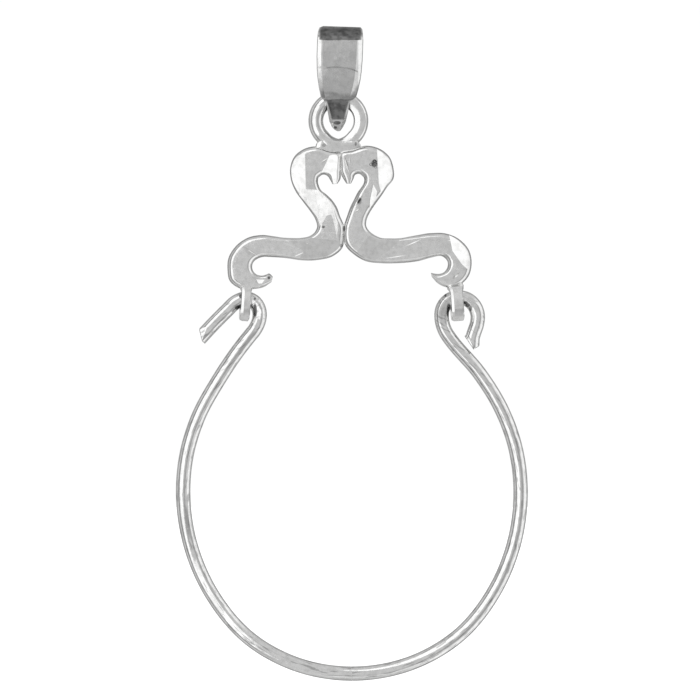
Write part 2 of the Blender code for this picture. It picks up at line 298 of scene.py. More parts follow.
class Value:
    """A shader socket that takes part in arithmetic."""

    def __init__(self, shader: "Shader", socket: bpy.types.NodeSocket) -> None:
        """Wraps an output socket.

        Args:
            shader: The node tree that the socket is in.
            socket: The socket.
        """
        self.shader = shader
        self.socket = socket

    def _math(self, operation: str, first: Any, second: Any) -> "Value":
        """Adds one Math node and returns its result."""
        return self.shader.value("ShaderNodeMath", {"operation": operation}, {0: first, 1: second})

    def __add__(self, other: Any) -> "Value":
        """Adds."""
        return self._math("ADD", self, other)

    def __radd__(self, other: Any) -> "Value":
        """Adds from the left."""
        return self._math("ADD", other, self)

    def __sub__(self, other: Any) -> "Value":
        """Subtracts."""
        return self._math("SUBTRACT", self, other)

    def __rsub__(self, other: Any) -> "Value":
        """Subtracts from the left."""
        return self._math("SUBTRACT", other, self)

    def __mul__(self, other: Any) -> "Value":
        """Multiplies."""
        return self._math("MULTIPLY", self, other)

    def __rmul__(self, other: Any) -> "Value":
        """Multiplies from the left."""
        return self._math("MULTIPLY", other, self)

    def __truediv__(self, other: Any) -> "Value":
        """Divides."""
        return self._math("DIVIDE", self, other)

    def over(self, other: Any) -> "Value":
        """The larger of two values."""
        return self._math("MAXIMUM", self, other)

    def under(self, other: Any) -> "Value":
        """The smaller of two values."""
        return self._math("MINIMUM", self, other)

    def ramp(self, start: float, end: float, low: float = 0.0, high: float = 1.0) -> "Value":
        """Rises softly from low at start to high at end.

        Args:
            start: Where the rise starts.
            end: Where it ends, which may be below the start.
            low: The value before the start.
            high: The value after the end.

        Returns:
            The risen value.
        """
        sockets = {"Value": self, "From Min": start, "From Max": end, "To Min": low, "To Max": high}
        return self.shader.value("ShaderNodeMapRange", {"interpolation_type": "SMOOTHSTEP"}, sockets)

    def between(self, low: float, high: float, soft: float) -> "Value":
        """Is 1 between two limits and 0 outside, with soft borders."""
        return self.ramp(low - soft, low + soft) * self.ramp(high + soft, high - soft)


class Shader:
    """A node tree that is written as expressions."""

    def __init__(self, tree: bpy.types.NodeTree) -> None:
        """Starts on a node tree, which is emptied."""
        self.tree = tree
        self.tree.nodes.clear()

    def node(self, kind: str, settings: dict[str, Any], sockets: dict[Any, Any]) -> bpy.types.Node:
        """Adds a node.

        Args:
            kind: The node's type.
            settings: Its settings, which are set first.
            sockets: Values or links of its input sockets, by name or number.

        Returns:
            The node.
        """
        node = self.tree.nodes.new(kind)
        for name, setting in settings.items():
            setattr(node, name, setting)
        for key, value in sockets.items():
            if isinstance(value, Value):
                self.tree.links.new(value.socket, node.inputs[key])
            elif isinstance(value, bpy.types.NodeSocket):
                self.tree.links.new(value, node.inputs[key])
            else:
                node.inputs[key].default_value = value
        return node

    def value(self, kind: str, settings: dict[str, Any], sockets: dict[Any, Any], output: Any = 0) -> Value:
        """Adds a node and returns one of its outputs for arithmetic."""
        return Value(self, self.node(kind, settings, sockets).outputs[output])

    def place(self) -> Value:
        """The point on the piece, in metres of the part's frame."""
        return self.value("ShaderNodeTexCoord", {}, {}, "Object")

    def scaled(self, vector: Value, scale: Sequence[float]) -> Value:
        """Stretches a vector along its axes."""
        sockets = {0: vector, 1: scale}
        return self.value("ShaderNodeVectorMath", {"operation": "MULTIPLY"}, sockets)

    def noise(self, vector: Value, scale: float, detail: float = 2.0, rough: float = 0.5) -> Value:
        """Cloudy noise from 0 to 1.

        Args:
            vector: Where it is read.
            scale: How many clouds there are to the metre.
            detail: How many finer layers it has.
            rough: How strong the finer layers are.

        Returns:
            The noise.
        """
        sockets = {"Vector": vector, "Scale": scale, "Detail": detail, "Roughness": rough}
        return self.value("ShaderNodeTexNoise", {}, sockets, "Fac")

    def pits(self, vector: Value, scale: float, size: float) -> Value:
        """Sparse round pits, which are 1 in their middle and 0 around.

        Args:
            vector: Where they are read.
            scale: How many cells with a pit there are to the metre.
            size: The pits' radius as a share of a cell.

        Returns:
            The pits.
        """
        sockets = {"Vector": vector, "Scale": scale}
        distance = self.value("ShaderNodeTexVoronoi", {}, sockets, "Distance")
        return distance.ramp(size, 0.3 * size)

    def blend(self, factor: Value, first: Any, second: Any) -> Value:
        """Mixes two colours."""
        sockets = {"Factor": factor, 6: first, 7: second}
        return self.value("ShaderNodeMix", {"data_type": "RGBA"}, sockets, 2)

    def split(self, vector: Value) -> tuple[Value, Value, Value]:
        """A vector's three parts."""
        node = self.node("ShaderNodeSeparateXYZ", {}, {0: vector})
        return tuple(Value(self, node.outputs[i]) for i in range(3))

    def join(self, x: Any, y: Any, z: Any) -> Value:
        """A vector from three parts."""
        return self.value("ShaderNodeCombineXYZ", {}, {0: x, 1: y, 2: z})


class Spot(NamedTuple):
    """A dark patch of painted shade, in places with patina: its place across and up and its half sizes, all
    in mm, and how dark it is.
    """

    x: float
    z: float
    half_width: float
    half_height: float
    dark: float

    def spread(self, x: Value, z: Value) -> Value:
        """How far a place is from the patch's middle, squared, where the patch's border is 1.

        Args:
            x: The place across, in metres.
            z: The place up, in metres.

        Returns:
            The squared distance.
        """
        right = (x - self.x * MM) / (self.half_width * MM)
        up = (z - self.z * MM) / (self.half_height * MM)
        return right * right + up * up


class Grain(Enum):
    """How the marks of polishing run over a finish."""

    ALONG_ARMS = "along the arms"
    UP_THE_STRAP = "up the strap"
    ROUND_THE_HOOP = "round the hoop"
    TURNED = "turned by the cutter"


@dataclass(frozen=True)
class Silver:
    """A finish of polished silver.

    Args:
        name: The material's name.
        grain: How its marks run.
        roughness: The roughness of its clean stretches.
        haze: How much rougher its hazy stretches are.
        marks: The height of its polishing marks in metres.
        ripple: The height of its slow ripples in metres.
        pit_share: The size of casting pits, as a share of their cells.
        spots: The dark patches of painted shade in recesses and where pieces meet, with some tarnish in the
            recesses.
        lines: How dark the lines are that a draw plate leaves.
        colour: The clean metal.
        dulled: The metal where handling has dulled it.
    """

    name: str
    grain: Grain
    roughness: float
    haze: float
    marks: float
    ripple: float
    pit_share: float
    spots: tuple[Spot, ...] = ()
    lines: float = 0.0
    colour: Colour = (0.93, 0.93, 0.925, 1.0)
    dulled: Colour = (0.70, 0.70, 0.695, 1.0)

    # How many of each there are to the metre
    CLOUDS, MOTTLES, DIMPLES, STREAKS = 620.0, 2700.0, 3400.0, 7200.0
    SCRATCHES, PITS, DRAW_LINES, PATINA_CLOUDS = 2600.0, 1400.0, 8200.0, 3100.0
    # How far each grain draws the marks out, as the scale of X, Y and Z
    STRETCH = {
        Grain.ALONG_ARMS: (0.16, 1.0, 1.0),
        Grain.UP_THE_STRAP: (1.0, 1.0, 0.14),
        Grain.TURNED: (1.0, 1.0, 0.30),
    }
    ROUND_STRETCH = 0.12
    PIT_DEPTH = 0.02 * MM
    # How much haze, mottles and pits dull the metal; how much scratches, pits, painted shade and patina
    # roughen it
    HAZE_DULLS, MOTTLES_DULL, PITS_DULL = 0.30, 0.45, 0.25
    SCRATCHES_ROUGHEN, PITS_ROUGHEN, PATINA_ROUGHENS = 0.05, 0.20, 0.20
    # The colour of the painted shade and patina, which the draw lines take too
    PATINA = (0.11, 0.11, 0.11, 1.0)
    # Painted shade and patina lie on the front: they fade out between these depths
    PATINA_BACK, PATINA_FRONT = 0.3 * MM, 0.1 * MM

    def grain_place(self, shader: Shader) -> Value:
        """Finds coordinates that are squeezed across the grain.

        Args:
            shader: The material's shader.

        Returns:
            The coordinates.
        """
        place = shader.place()
        if self.grain is not Grain.ROUND_THE_HOOP:
            return shader.scaled(place, self.STRETCH[self.grain])
        x, y, z = shader.split(place)
        right = x - Hoop.middle().x
        up = z - Hoop.middle().z
        radius = shader.value("ShaderNodeMath", {"operation": "SQRT"}, {0: right * right + up * up})
        turn = shader.value("ShaderNodeMath", {"operation": "ARCTAN2"}, {0: right, 1: up})
        return shader.join(radius, y, turn * (self.ROUND_STRETCH * Hoop.radius))

    def tarnish(self, shader: Shader) -> Value | None:
        """Finds where painted shade and patina darken the finish.

        Args:
            shader: The material's shader.

        Returns:
            How dark it is in its patches of painted shade and patina, which have cloudy borders, or None if
            it has none.
        """
        if not self.spots:
            return None
        place = shader.place()
        x, y, z = shader.split(place)
        cloudy = (shader.noise(place, self.PATINA_CLOUDS, 3.0, 0.6) - 0.5) * 0.7
        dark = None
        for spot in self.spots:
            patch = (spot.spread(x, z) + cloudy).ramp(1.1, 0.45, 0.0, spot.dark)
            dark = patch if dark is None else dark.over(patch)
        return dark * y.ramp(self.PATINA_BACK, self.PATINA_FRONT)

    def make(self) -> bpy.types.Material:
        """Makes the material.

        Returns:
            The material, with its detail in colour, roughness and bump.
        """
        material = bpy.data.materials.new(self.name)
        material.use_nodes = True
        shader = Shader(material.node_tree)
        place = shader.place()
        grain = self.grain_place(shader)
        cloud = shader.noise(place, self.CLOUDS, 3.0, 0.6)
        dimple = shader.noise(place, self.DIMPLES, 2.0, 0.5)
        streak = shader.noise(grain, self.STREAKS, 3.0, 0.62)
        scratch = shader.noise(grain, self.SCRATCHES, 1.0).between(0.485, 0.515, 0.012)
        pit = shader.pits(place, self.PITS, self.pit_share)
        hazy = cloud.ramp(0.42, 0.72)
        mottle = shader.noise(place, self.MOTTLES, 3.0, 0.62).ramp(0.40, 0.66)
        dull = hazy * self.HAZE_DULLS + mottle * self.MOTTLES_DULL + pit * self.PITS_DULL
        colour = shader.blend(dull, self.colour, self.dulled)
        roughness = self.roughness + self.haze * hazy
        roughness = roughness + self.SCRATCHES_ROUGHEN * scratch + self.PITS_ROUGHEN * pit
        # Painted shade and patina from the dark patches
        dark = self.tarnish(shader)
        if self.lines:
            drawn = shader.noise(grain, self.DRAW_LINES, 1.0).ramp(0.585, 0.67, 0.0, self.lines)
            dark = drawn if dark is None else drawn.over(dark)
        if dark is not None:
            colour = shader.blend(dark, colour, self.PATINA)
            roughness = roughness + self.PATINA_ROUGHENS * dark
        waves = (cloud * 1.5 + dimple) * self.ripple
        height = waves + streak * self.marks - scratch * (0.5 * self.marks) - pit * self.PIT_DEPTH
        relief = {"Strength": 1.0, "Distance": 1.0, "Height": height}
        bump = shader.value("ShaderNodeBump", {}, relief, "Normal")
        sockets = {"Base Color": colour, "Metallic": 1.0, "Roughness": roughness, "Normal": bump}
        surface = shader.node("ShaderNodeBsdfPrincipled", {}, sockets)
        shader.node("ShaderNodeOutputMaterial", {}, {"Surface": surface.outputs[0]})
        return material


@dataclass(frozen=True)
class StrapSilver(Silver):
    """The bail's finish: bright, but darker on its top bend, with painted shade down its tongue, which faces
    downwards.

    Args:
        bend_z: Where the dark of the top bend ends.
        crease_x: Where the crease across the strap is highest.
        crease_z: How high it is there.
        crease_bow: How fast it falls to both sides, in millimetres per square millimetre.
        ledge_z: Where the tongue starts.
        tongue_x: The middle of the tongue's painted shade.
        tongue_z: The height at which its half width holds.
        tongue_half_width: Half the width of the painted shade.
        tongue_taper: How much the half width grows going up.
        foot_z: Where the painted shade eases into a painted highlight at the tongue's foot.
        dark_width: Half the width of what is darkened at all.
        panel_width: Half the width of the front between the bevels.
        film: How much the front between the bevels is darkened.
        wander: How far the borders of the dark wander.
    """

    bend_z: float = -0.48 * MM
    crease_x: float = -0.24 * MM
    crease_z: float = -2.28 * MM
    crease_bow: float = 0.16
    ledge_z: float = -4.46 * MM
    tongue_x: float = -0.17 * MM
    tongue_z: float = -5.12 * MM
    tongue_half_width: float = 0.58 * MM
    tongue_taper: float = 0.28
    foot_z: float = -5.78 * MM
    dark_width: float = 1.40 * MM
    panel_width: float = 1.19 * MM
    film: float = 0.37
    wander: float = 0.16 * MM

    # How many borders, patches, bare places and breaks in the crease there are to the metre
    BORDERS, PATCHES, BARE_PLACES, BREAKS = 1500.0, 2300.0, 800.0, 1400.0

    def tongue(self, x: Value, z: Value, below: Value) -> Value:
        """Finds how dark the painted shade on the tongue is.

        Args:
            x: The place across.
            z: The place up.
            below: Is 1 below the ledge.

        Returns:
            1 down the tongue's middle and in its hollows, and less along its borders and at its foot, where
            a painted highlight lightens it.
        """
        half_width = (z - self.tongue_z) * self.tongue_taper + self.tongue_half_width
        side = (x - self.tongue_x) / half_width
        dark = below * (side * side).ramp(1.15, 0.80, 0.30, 1.0)
        # Below its foot the painted shade eases into a painted highlight near the tip
        dark = dark * z.ramp(self.foot_z + 0.06 * MM, self.foot_z - 0.06 * MM, 1.0, 0.35)
        # Darker still in the hollows: a painted dark oval and dark spot
        for spot in self.spots:
            dark = dark.over(spot.spread(x, z).ramp(1.5, 0.5, 0.0, spot.dark))
        return dark

    def crease(self, shader: Shader, x: Value, z: Value) -> Value:
        """Draws a broken line of painted shade along the crease across the strap.

        Args:
            shader: The material's shader.
            x: The place across.
            z: The place up, with the border's wandering.

        Returns:
            How dark the line is.
        """
        aside = x - self.crease_x
        along = shader.scaled(shader.place(), (1.0, 0.0, 0.0))
        broken = shader.noise(along, self.BREAKS, 1.0).ramp(0.38, 0.60, 0.25, 1.0)
        height = z + aside * aside * (self.crease_bow / MM) - self.crease_z
        return height.between(-0.05 * MM, 0.03 * MM, 0.04 * MM) * broken * 0.42

    def tarnish(self, shader: Shader) -> Value:
        """Finds where the strap is darkened.

        Args:
            shader: The material's shader.

        Returns:
            1 on the top bend and in the tongue's painted shade, less on the darkened front, the crease's
            line of painted shade and above the ledge.
        """
        place = shader.place()
        x, _, z = shader.split(place)
        across = x * x
        wander = (shader.noise(place, self.BORDERS, 2.0) - 0.5) * self.wander
        border = z + wander
        high = border.ramp(self.bend_z - 0.03 * MM, self.bend_z + 0.03 * MM)
        # Painted shade down the tongue
        low = self.tongue(x, z, border.ramp(self.ledge_z + 0.04 * MM, self.ledge_z - 0.04 * MM))
        inside = across.ramp((self.dark_width + 0.10 * MM) ** 2, (self.dark_width - 0.10 * MM) ** 2)
        panel = across.ramp((self.panel_width + 0.05 * MM) ** 2, (self.panel_width - 0.05 * MM) ** 2)
        patch = shader.noise(place, self.PATCHES, 3.0).ramp(0.20, 0.70, 0.72, 1.0)
        ragged = (z + wander * 4.0).ramp(self.ledge_z + 0.52 * MM, self.ledge_z + 0.22 * MM) * 0.32
        bare = shader.noise(place, self.BARE_PLACES, 2.0).ramp(0.58, 0.66, 0.0, 0.55)
        film = (self.film * (1.0 - bare) + self.crease(shader, x, z + wander * 0.6)) * panel
        head = z.ramp(self.ledge_z - 0.1 * MM, self.ledge_z)
        return (high + low + (ragged * patch + film) * head).under(1.0) * inside * patch.over(0.85)


class Section(NamedTuple):
    """A scroll's two edges at one station, as shares of the lobe's or the arm's named sizes."""

    outer_x: float
    outer_fall: float
    inner_x: float
    inner_fall: float


class Bend(NamedTuple):
    """A bend of the hoop's wire, in wire diameters from where it crosses its eyelet."""

    right: float
    up: float


class Arc(NamedTuple):
    """A point on the hoop's arc: degrees from its lowest point and a share of the hoop's radius."""

    angle: float
    radius: float


class Strap(NamedTuple):
    """A station down the bail: shares of its height, half depth, half width, full bevels and thickness."""

    fall: float
    reach: float
    half_width: float
    bevel: float = 1.0
    thick: float = 1.0


class Facet(NamedTuple):
    """A flat that the diamond cutter leaves on the front.

    Its corners are places in millimetres across and up, in one turning direction. The flat looks right and
    up by so many degrees, and lies sunk millimetres below the front at its first corner.
    """

    name: str
    corners: tuple[tuple[float, float], ...]
    right: float
    up: float
    sink: float = 0.0


class Groove(NamedTuple):
    """A stroke of the graver from one place to another, in millimetres across and up."""

    start: tuple[float, float]
    end: tuple[float, float]
    width: float
    depth: float


class Pit(NamedTuple):
    """A casting pit: its place across and up and its width, in millimetres."""

    place: tuple[float, float]
    width: float


@dataclass
class Cutter:
    """The cutter, the graver and the pits that mark a front.

    Args:
        front_y: The depth at which the front lies.
        height: How far a cut block reaches before it.
        pit_divisions: How finely a pit is divided.
    """

    front_y: float
    height: float = 2.0 * MM
    pit_divisions: int = 3

    # A stroke's depth and width along it: how far along, and the share of the full size
    STROKE = ((0.0, 0.05), (0.3, 0.8), (0.6, 1.0), (1.0, 0.1))

    def flat(self, facet: Facet) -> bpy.types.Object:
        """Makes the block of metal that one pass of the cutter takes away.

        Args:
            facet: The flat to leave.

        Returns:
            A closed block whose back lies on the flat.
        """
        Bench.clear()
        bpy.ops.mesh.primitive_circle_add(vertices=len(facet.corners), radius=MM, fill_type="NGON")
        block = Bench.name(bpy.context.object, facet.name)
        first_x, first_z = facet.corners[0]
        with Bench.editing(block) as mesh:
            mesh.verts.ensure_lookup_table()
            for corner, (x, z) in zip(mesh.verts, facet.corners):
                fall = math.tan(math.radians(facet.right)) * (x - first_x)
                fall += math.tan(math.radians(facet.up)) * (z - first_z)
                corner.co = (x * MM, self.front_y + (facet.sink + fall) * MM, z * MM)
            bmesh.update_edit_mesh(block.data)
            bpy.ops.mesh.select_all(action="SELECT")
            bpy.ops.mesh.extrude_region_move(TRANSFORM_OT_translate={"value": (0, -self.height, 0)})
        return Bench.tidy(block)

    def stroke(self, groove: Groove) -> bpy.types.Object:
        """Makes the sliver of metal that one stroke of the graver lifts out.

        Args:
            groove: The stroke.

        Returns:
            A closed sliver with its middle line on the front.
        """
        start = Vector((groove.start[0] * MM, self.front_y, groove.start[1] * MM))
        end = Vector((groove.end[0] * MM, self.front_y, groove.end[1] * MM))
        side = (end - start).normalized().cross(Vector((0, 1, 0)))
        rings = []
        for share, full in self.STROKE:
            middle = start.lerp(end, share)
            deep = Vector((0, groove.depth * full * MM, 0))
            wide = side * (groove.width * full * MM)
            rings.append([middle + deep, middle - deep + wide, middle - deep - wide])
        return Bench.extrude_through("stroke", rings, closed=False)

    def pit(self, pit: Pit) -> bpy.types.Object:
        """Makes the bubble that left a pit.

        Args:
            pit: The pit.

        Returns:
            A ball with its middle on the front.
        """
        place = (pit.place[0] * MM, self.front_y, pit.place[1] * MM)
        Bench.clear()
        radius = pit.width / 2 * MM
        bpy.ops.mesh.primitive_ico_sphere_add(subdivisions=self.pit_divisions, radius=radius, location=place)
        return Bench.settle(Bench.name(bpy.context.object, "pit"))

    def mark(self, piece: bpy.types.Object, marks: Sequence[Facet | Groove | Pit]) -> None:
        """Cuts every mark into a piece; flats take the piece's second finish, the rest its first.

        Args:
            piece: The scroll to cut.
            marks: The marks, in the order of cutting.
        """
        for mark in marks:
            if isinstance(mark, Facet):
                tool = self.flat(mark)
            else:
                tool = self.stroke(mark) if isinstance(mark, Groove) else self.pit(mark)
            for finish in piece.data.materials:
                tool.data.materials.append(finish)
            for face in tool.data.polygons:
                face.material_index = 1 if isinstance(mark, Facet) else 0
            Bench.work(piece, tool, Join.CUT)


@dataclass
class Frame:
    """The frame: two scrolls, the top ring on its solder, and the eyelets, soldered into one piece.

    Args:
        thickness: The scrolls' thickness.
        crown: How far a scroll's front rises between its rims.
        rim_share: The widest that a rounded rim may be, as a share of the scroll's width.
        back_rim: The bevel round a scroll's back.
        lobe_top_z: The height of the lobes' tops.
        lobe_height: How far the waist lies below them.
        curl_drop: How far the curls reach below the waist.
        lobe_half_width: How far each lobe reaches out.
        arm_reach: How far each arm reaches out.
        ring_x: The top ring's middle.
        ring_z: Its height.
        ring_radius: The radius of its wire's middle line.
        ring_wire: Its wire's thickness.
        ring_steps: How many stations it has.
        ring_sides: How many corners its section has.
        ring_flat: How far its worn front lies before its middle.
        ring_flat_lean: Degrees that the worn front looks to the right.
        ring_rub_inset: How far inside the middle line the rubbed slant starts.
        ring_rub_lean: Degrees that the slant looks to the ring's middle.
        ring_notch: How far its foot is drawn out into a point.
        ring_notch_angle: Degrees from the foot at which that starts.
        solder_depth: The solder's thickness.
        solder_round: How round its edges are.
        eyelet_z: The height of the eyelets' middles.
        eyelet_bore: The radius of their bores.
        eyelet_soft: How round the edges of their straps are.
        eyelet_spacing: About how many degrees lie between two stations.
        eyelet_x: Where each eyelet is.
        eyelet_width: How wide each strap is.
        eyelet_turn: Degrees that each one turns about the vertical.
        eyelet_lean: Degrees that each one leans to its side.
        crisp_angle: The angle in degrees from which an edge is crisp.
    """

    thickness: float = 1.40 * MM
    crown: float = 0.003 * MM
    rim_share: float = 0.36
    back_rim: float = 0.10 * MM
    lobe_top_z: float = -7.383 * MM
    lobe_height: float = 5.65 * MM
    curl_drop: float = 4.14 * MM
    lobe_half_width: dict[Side, float] = both(3.37 * MM, 3.57 * MM)
    arm_reach: dict[Side, float] = both(7.60 * MM, 8.82 * MM)
    ring_x: float = -0.143 * MM
    ring_z: float = -5.843 * MM
    ring_radius: float = 1.52 * MM
    ring_wire: float = 1.00 * MM
    ring_steps: int = 96
    ring_sides: int = 28
    ring_flat: float = 0.430 * MM
    ring_flat_lean: float = 2.6
    ring_rub_inset: float = 0.05 * MM
    ring_rub_lean: float = 12.0
    ring_notch: float = 0.19 * MM
    ring_notch_angle: float = 42.0
    solder_depth: float = 0.88 * MM
    solder_round: float = 0.12 * MM
    eyelet_z: float = -17.913 * MM
    eyelet_bore: float = 0.70 * MM
    eyelet_soft: float = 0.10 * MM
    eyelet_spacing: float = 8.0
    eyelet_x: dict[Side, float] = both(-6.422 * MM, 7.775 * MM)
    eyelet_width: dict[Side, float] = both(0.66 * MM, 0.86 * MM)
    eyelet_turn: dict[Side, float] = both(5.0, 4.0)
    eyelet_lean: dict[Side, float] = both(4.0, -4.0)
    crisp_angle: float = 16.0

    # The solder's outline, in millimetres across and up
    SOLDER = (
        (-1.70, -7.62), (-1.62, -7.34), (-1.30, -7.14), (-0.90, -7.20), (0.62, -7.20), (1.00, -7.14),
        (1.32, -7.36), (1.40, -7.62), (0.60, -8.05), (-0.14, -8.15), (-0.90, -8.05),
    )
    # The rounded rim's profile: millimetres in from the edge and back from the front
    RIM = (
        (0.0, 0.330), (0.090, 0.158), (0.112, 0.124), (0.150, 0.088), (0.190, 0.058),
        (0.228, 0.034), (0.258, 0.019), (0.288, 0.008), (0.325, 0.001),
    )
    # Where the low crown between the rims has its corners, as shares of half its width
    CROWN = (-0.95, -0.5, 0.0, 0.5, 0.95)
    # The scroll from beside the heart over its lobe to the waist
    LOBE = {
        Side.LEFT: rows_of(
            Section,
            (0.060, 0.476, 0.160, 0.482), (0.000, 0.417, 0.220, 0.417), (-0.012, 0.333, 0.250, 0.392),
            (-0.010, 0.190, 0.290, 0.375), (-0.010, 0.112, 0.320, 0.369), (0.210, 0.080, 0.350, 0.369),
            (0.490, 0.034, 0.380, 0.375), (0.750, 0.071, 0.412, 0.390), (0.920, 0.155, 0.440, 0.405),
            (1.000, 0.274, 0.450, 0.440), (0.990, 0.429, 0.440, 0.488), (0.900, 0.565, 0.390, 0.554),
            (0.750, 0.690, 0.280, 0.607), (0.620, 0.792, 0.160, 0.679), (0.520, 0.881, 0.070, 0.762),
            (0.470, 0.964, 0.010, 0.863), (0.480, 1.018, -0.080, 1.000), (0.530, 1.065, -0.072, 1.119),
        ),
        Side.RIGHT: rows_of(
            Section,
            (0.113, 0.476, 0.198, 0.476), (0.057, 0.423, 0.245, 0.417), (-0.011, 0.333, 0.264, 0.384),
            (-0.011, 0.190, 0.292, 0.366), (-0.011, 0.112, 0.321, 0.360), (0.217, 0.070, 0.349, 0.360),
            (0.481, 0.026, 0.377, 0.366), (0.745, 0.065, 0.409, 0.384), (0.925, 0.161, 0.440, 0.405),
            (0.996, 0.286, 0.447, 0.440), (1.000, 0.417, 0.430, 0.482), (0.887, 0.512, 0.387, 0.524),
            (0.774, 0.619, 0.321, 0.583), (0.651, 0.726, 0.255, 0.667), (0.547, 0.827, 0.189, 0.750),
            (0.487, 0.923, 0.123, 0.863), (0.496, 1.000, 0.058, 1.000), (0.585, 1.065, 0.052, 1.119),
        ),
    }
    # The scroll from the waist along its arm and round its curl
    ARM = {
        Side.LEFT: rows_of(
            Section,
            (0.274, 0.138, -0.022, 0.309), (0.341, 0.166, 0.066, 0.463), (0.420, 0.170, 0.208, 0.528),
            (0.509, 0.163, 0.341, 0.532), (0.597, 0.140, 0.482, 0.496), (0.704, 0.122, 0.606, 0.480),
            (0.819, 0.165, 0.695, 0.480), (0.925, 0.300, 0.761, 0.540), (0.993, 0.504, 0.783, 0.630),
            (1.000, 0.683, 0.772, 0.708), (0.982, 0.862, 0.739, 0.764), (0.905, 0.980, 0.699, 0.780),
            (0.783, 1.000, 0.659, 0.764), (0.680, 0.967, 0.628, 0.748), (0.612, 0.885, 0.599, 0.797),
        ),
        Side.RIGHT: rows_of(
            Section,
            (0.298, 0.160, 0.040, 0.300), (0.378, 0.175, 0.106, 0.442), (0.454, 0.172, 0.192, 0.545),
            (0.523, 0.147, 0.320, 0.580), (0.592, 0.120, 0.454, 0.577), (0.691, 0.090, 0.592, 0.545),
            (0.805, 0.098, 0.688, 0.490), (0.908, 0.195, 0.770, 0.463), (0.981, 0.372, 0.815, 0.545),
            (1.000, 0.602, 0.815, 0.650), (0.975, 0.797, 0.789, 0.724), (0.908, 0.935, 0.757, 0.750),
            (0.821, 0.975, 0.733, 0.752), (0.742, 0.905, 0.710, 0.745), (0.697, 0.800, 0.690, 0.735),
        ),
    }
    # The eyelet's outline: degrees from its top over its front, millimetres out from the bore's middle, and
    # the strap's width as a share
    EYELET = (
        (0.0, 1.12, 1.30), (20.0, 1.13, 1.30), (38.0, 1.15, 1.14), (54.0, 1.09, 0.99),
        (72.0, 1.05, 0.97), (90.0, 1.08, 0.98), (108.0, 1.18, 0.98), (118.5, 1.265, 0.98),
        (121.5, 1.29, 0.99), (139.6, 1.50, 0.99), (151.0, 1.53, 0.99), (166.0, 1.45, 0.98),
        (180.0, 1.42, 0.96), (225.0, 1.34, 0.86), (275.0, 1.15, 0.77), (295.0, 1.03, 0.74),
        (312.0, 0.95, 0.76), (335.0, 0.98, 0.95), (360.0, 1.12, 1.30),
    )
    # The diamond cutter's flats, the graver's strokes and the casting pits
    MARKS = {
        Side.LEFT: (
            Facet("outer_flat", (
                (-2.43, -6.8), (-2.36, -9.2), (-2.30, -11.9), (-4.2, -11.9), (-4.2, -6.8),
            ), -9.0, 0.0, 0.02),
            Facet("waist_flat", (
                (0.45, -12.6), (-0.24, -13.8), (-0.40, -12.9), (-0.62, -12.15), (-0.95, -12.25),
                (-1.12, -12.62), (-1.55, -13.08), (-2.9, -13.3), (-2.75, -10.42), (-1.45, -10.52),
                (0.5, -10.9),
            ), -3.2, 0.3, -0.03),
            Facet("prong_flat", (
                (-0.15, -8.1), (-0.15, -10.4), (-0.75, -10.4), (-1.42, -9.6), (-0.75, -8.2),
            ), -5.0, 0.0),
            Facet("arm_flat", (
                (-2.46, -14.64), (-3.0, -15.5), (0.6, -15.5), (0.6, -14.0), (-4.15, -13.5),
            ), 0.5, -0.8, 0.03),
            Facet("tip_flat", (
                (-5.10, -16.55), (-5.72, -16.52), (-5.55, -16.80), (-5.28, -16.80),
            ), -9.0, 0.0, 0.03),
            Facet("curl_flat", (
                (-5.5, -14.9), (-6.6, -14.2), (-8.0, -14.6), (-8.0, -16.2), (-6.0, -16.6),
            ), 0.8, 0.6, 0.01),
            *rows_of(
                Groove,
                ((-3.3, -15.05), (-2.4, -14.68), 0.09, 0.020),
                ((-4.15, -13.93), (-2.50, -14.57), 0.07, 0.022),
                ((-7.25, -16.4), (-6.35, -17.15), 0.09, 0.05),
                ((-6.55, -14.3), (-5.60, -14.92), 0.09, 0.05),
                ((-1.35, -8.75), (-0.85, -8.38), 0.12, 0.09),
                ((-0.62, -8.5), (-0.80, -9.1), 0.12, 0.05),
            ),
            *rows_of(
                Pit,
                ((-1.15, -13.0), 0.12), ((-2.25, -14.1), 0.11), ((-4.80, -16.42), 0.13),
            ),
        ),
        Side.RIGHT: (
            Facet("outer_flat", (
                (3.5, -11.5), (3.9, -11.5), (3.9, -7.2), (2.42, -7.5), (2.56, -10.1), (2.70, -10.6),
                (2.25, -11.9),
            ), -4.5, 0.6, 0.01),
            Facet("sliver", (
                (2.45, -10.6), (2.18, -10.1), (1.95, -11.2), (1.9, -12.3), (2.3, -12.0),
            ), -9.0, 0.0, 0.03),
            Facet("curl_flat", (
                (8.7, -16.0), (8.9, -13.4), (7.25, -13.4), (7.50, -14.6), (8.1, -15.45),
            ), -5.5, 1.0, 0.02),
            Facet("arm_flat", (
                (2.1, -15.4), (3.5, -14.4), (4.4, -13.4), (2.0, -13.4), (0.6, -15.4),
            ), 0.6, -0.8, 0.03),
            *rows_of(
                Groove,
                ((0.27, -8.25), (0.60, -9.40), 0.16, 0.10), ((0.62, -8.30), (0.60, -8.85), 0.10, 0.03),
                ((1.53, -10.85), (1.02, -11.60), 0.17, 0.16),
                ((1.38, -11.68), (0.95, -12.15), 0.15, 0.12),
                ((8.00, -16.05), (7.50, -16.52), 0.16, 0.15),
                ((2.1, -15.0), (3.60, -14.35), 0.09, 0.020),
                ((4.35, -14.30), (5.50, -13.78), 0.09, 0.020),
                ((2.9, -15.12), (4.4, -14.90), 0.07, 0.018),
            ),
            *rows_of(
                Pit,
                ((2.05, -8.80), 0.22), ((2.28, -8.58), 0.24), ((2.43, -8.66), 0.18),
                ((2.36, -8.97), 0.18), ((2.20, -8.78), 0.16), ((7.30, -13.90), 0.14),
                ((7.78, -14.60), 0.11), ((0.32, -13.10), 0.13),
            ),
        ),
    }
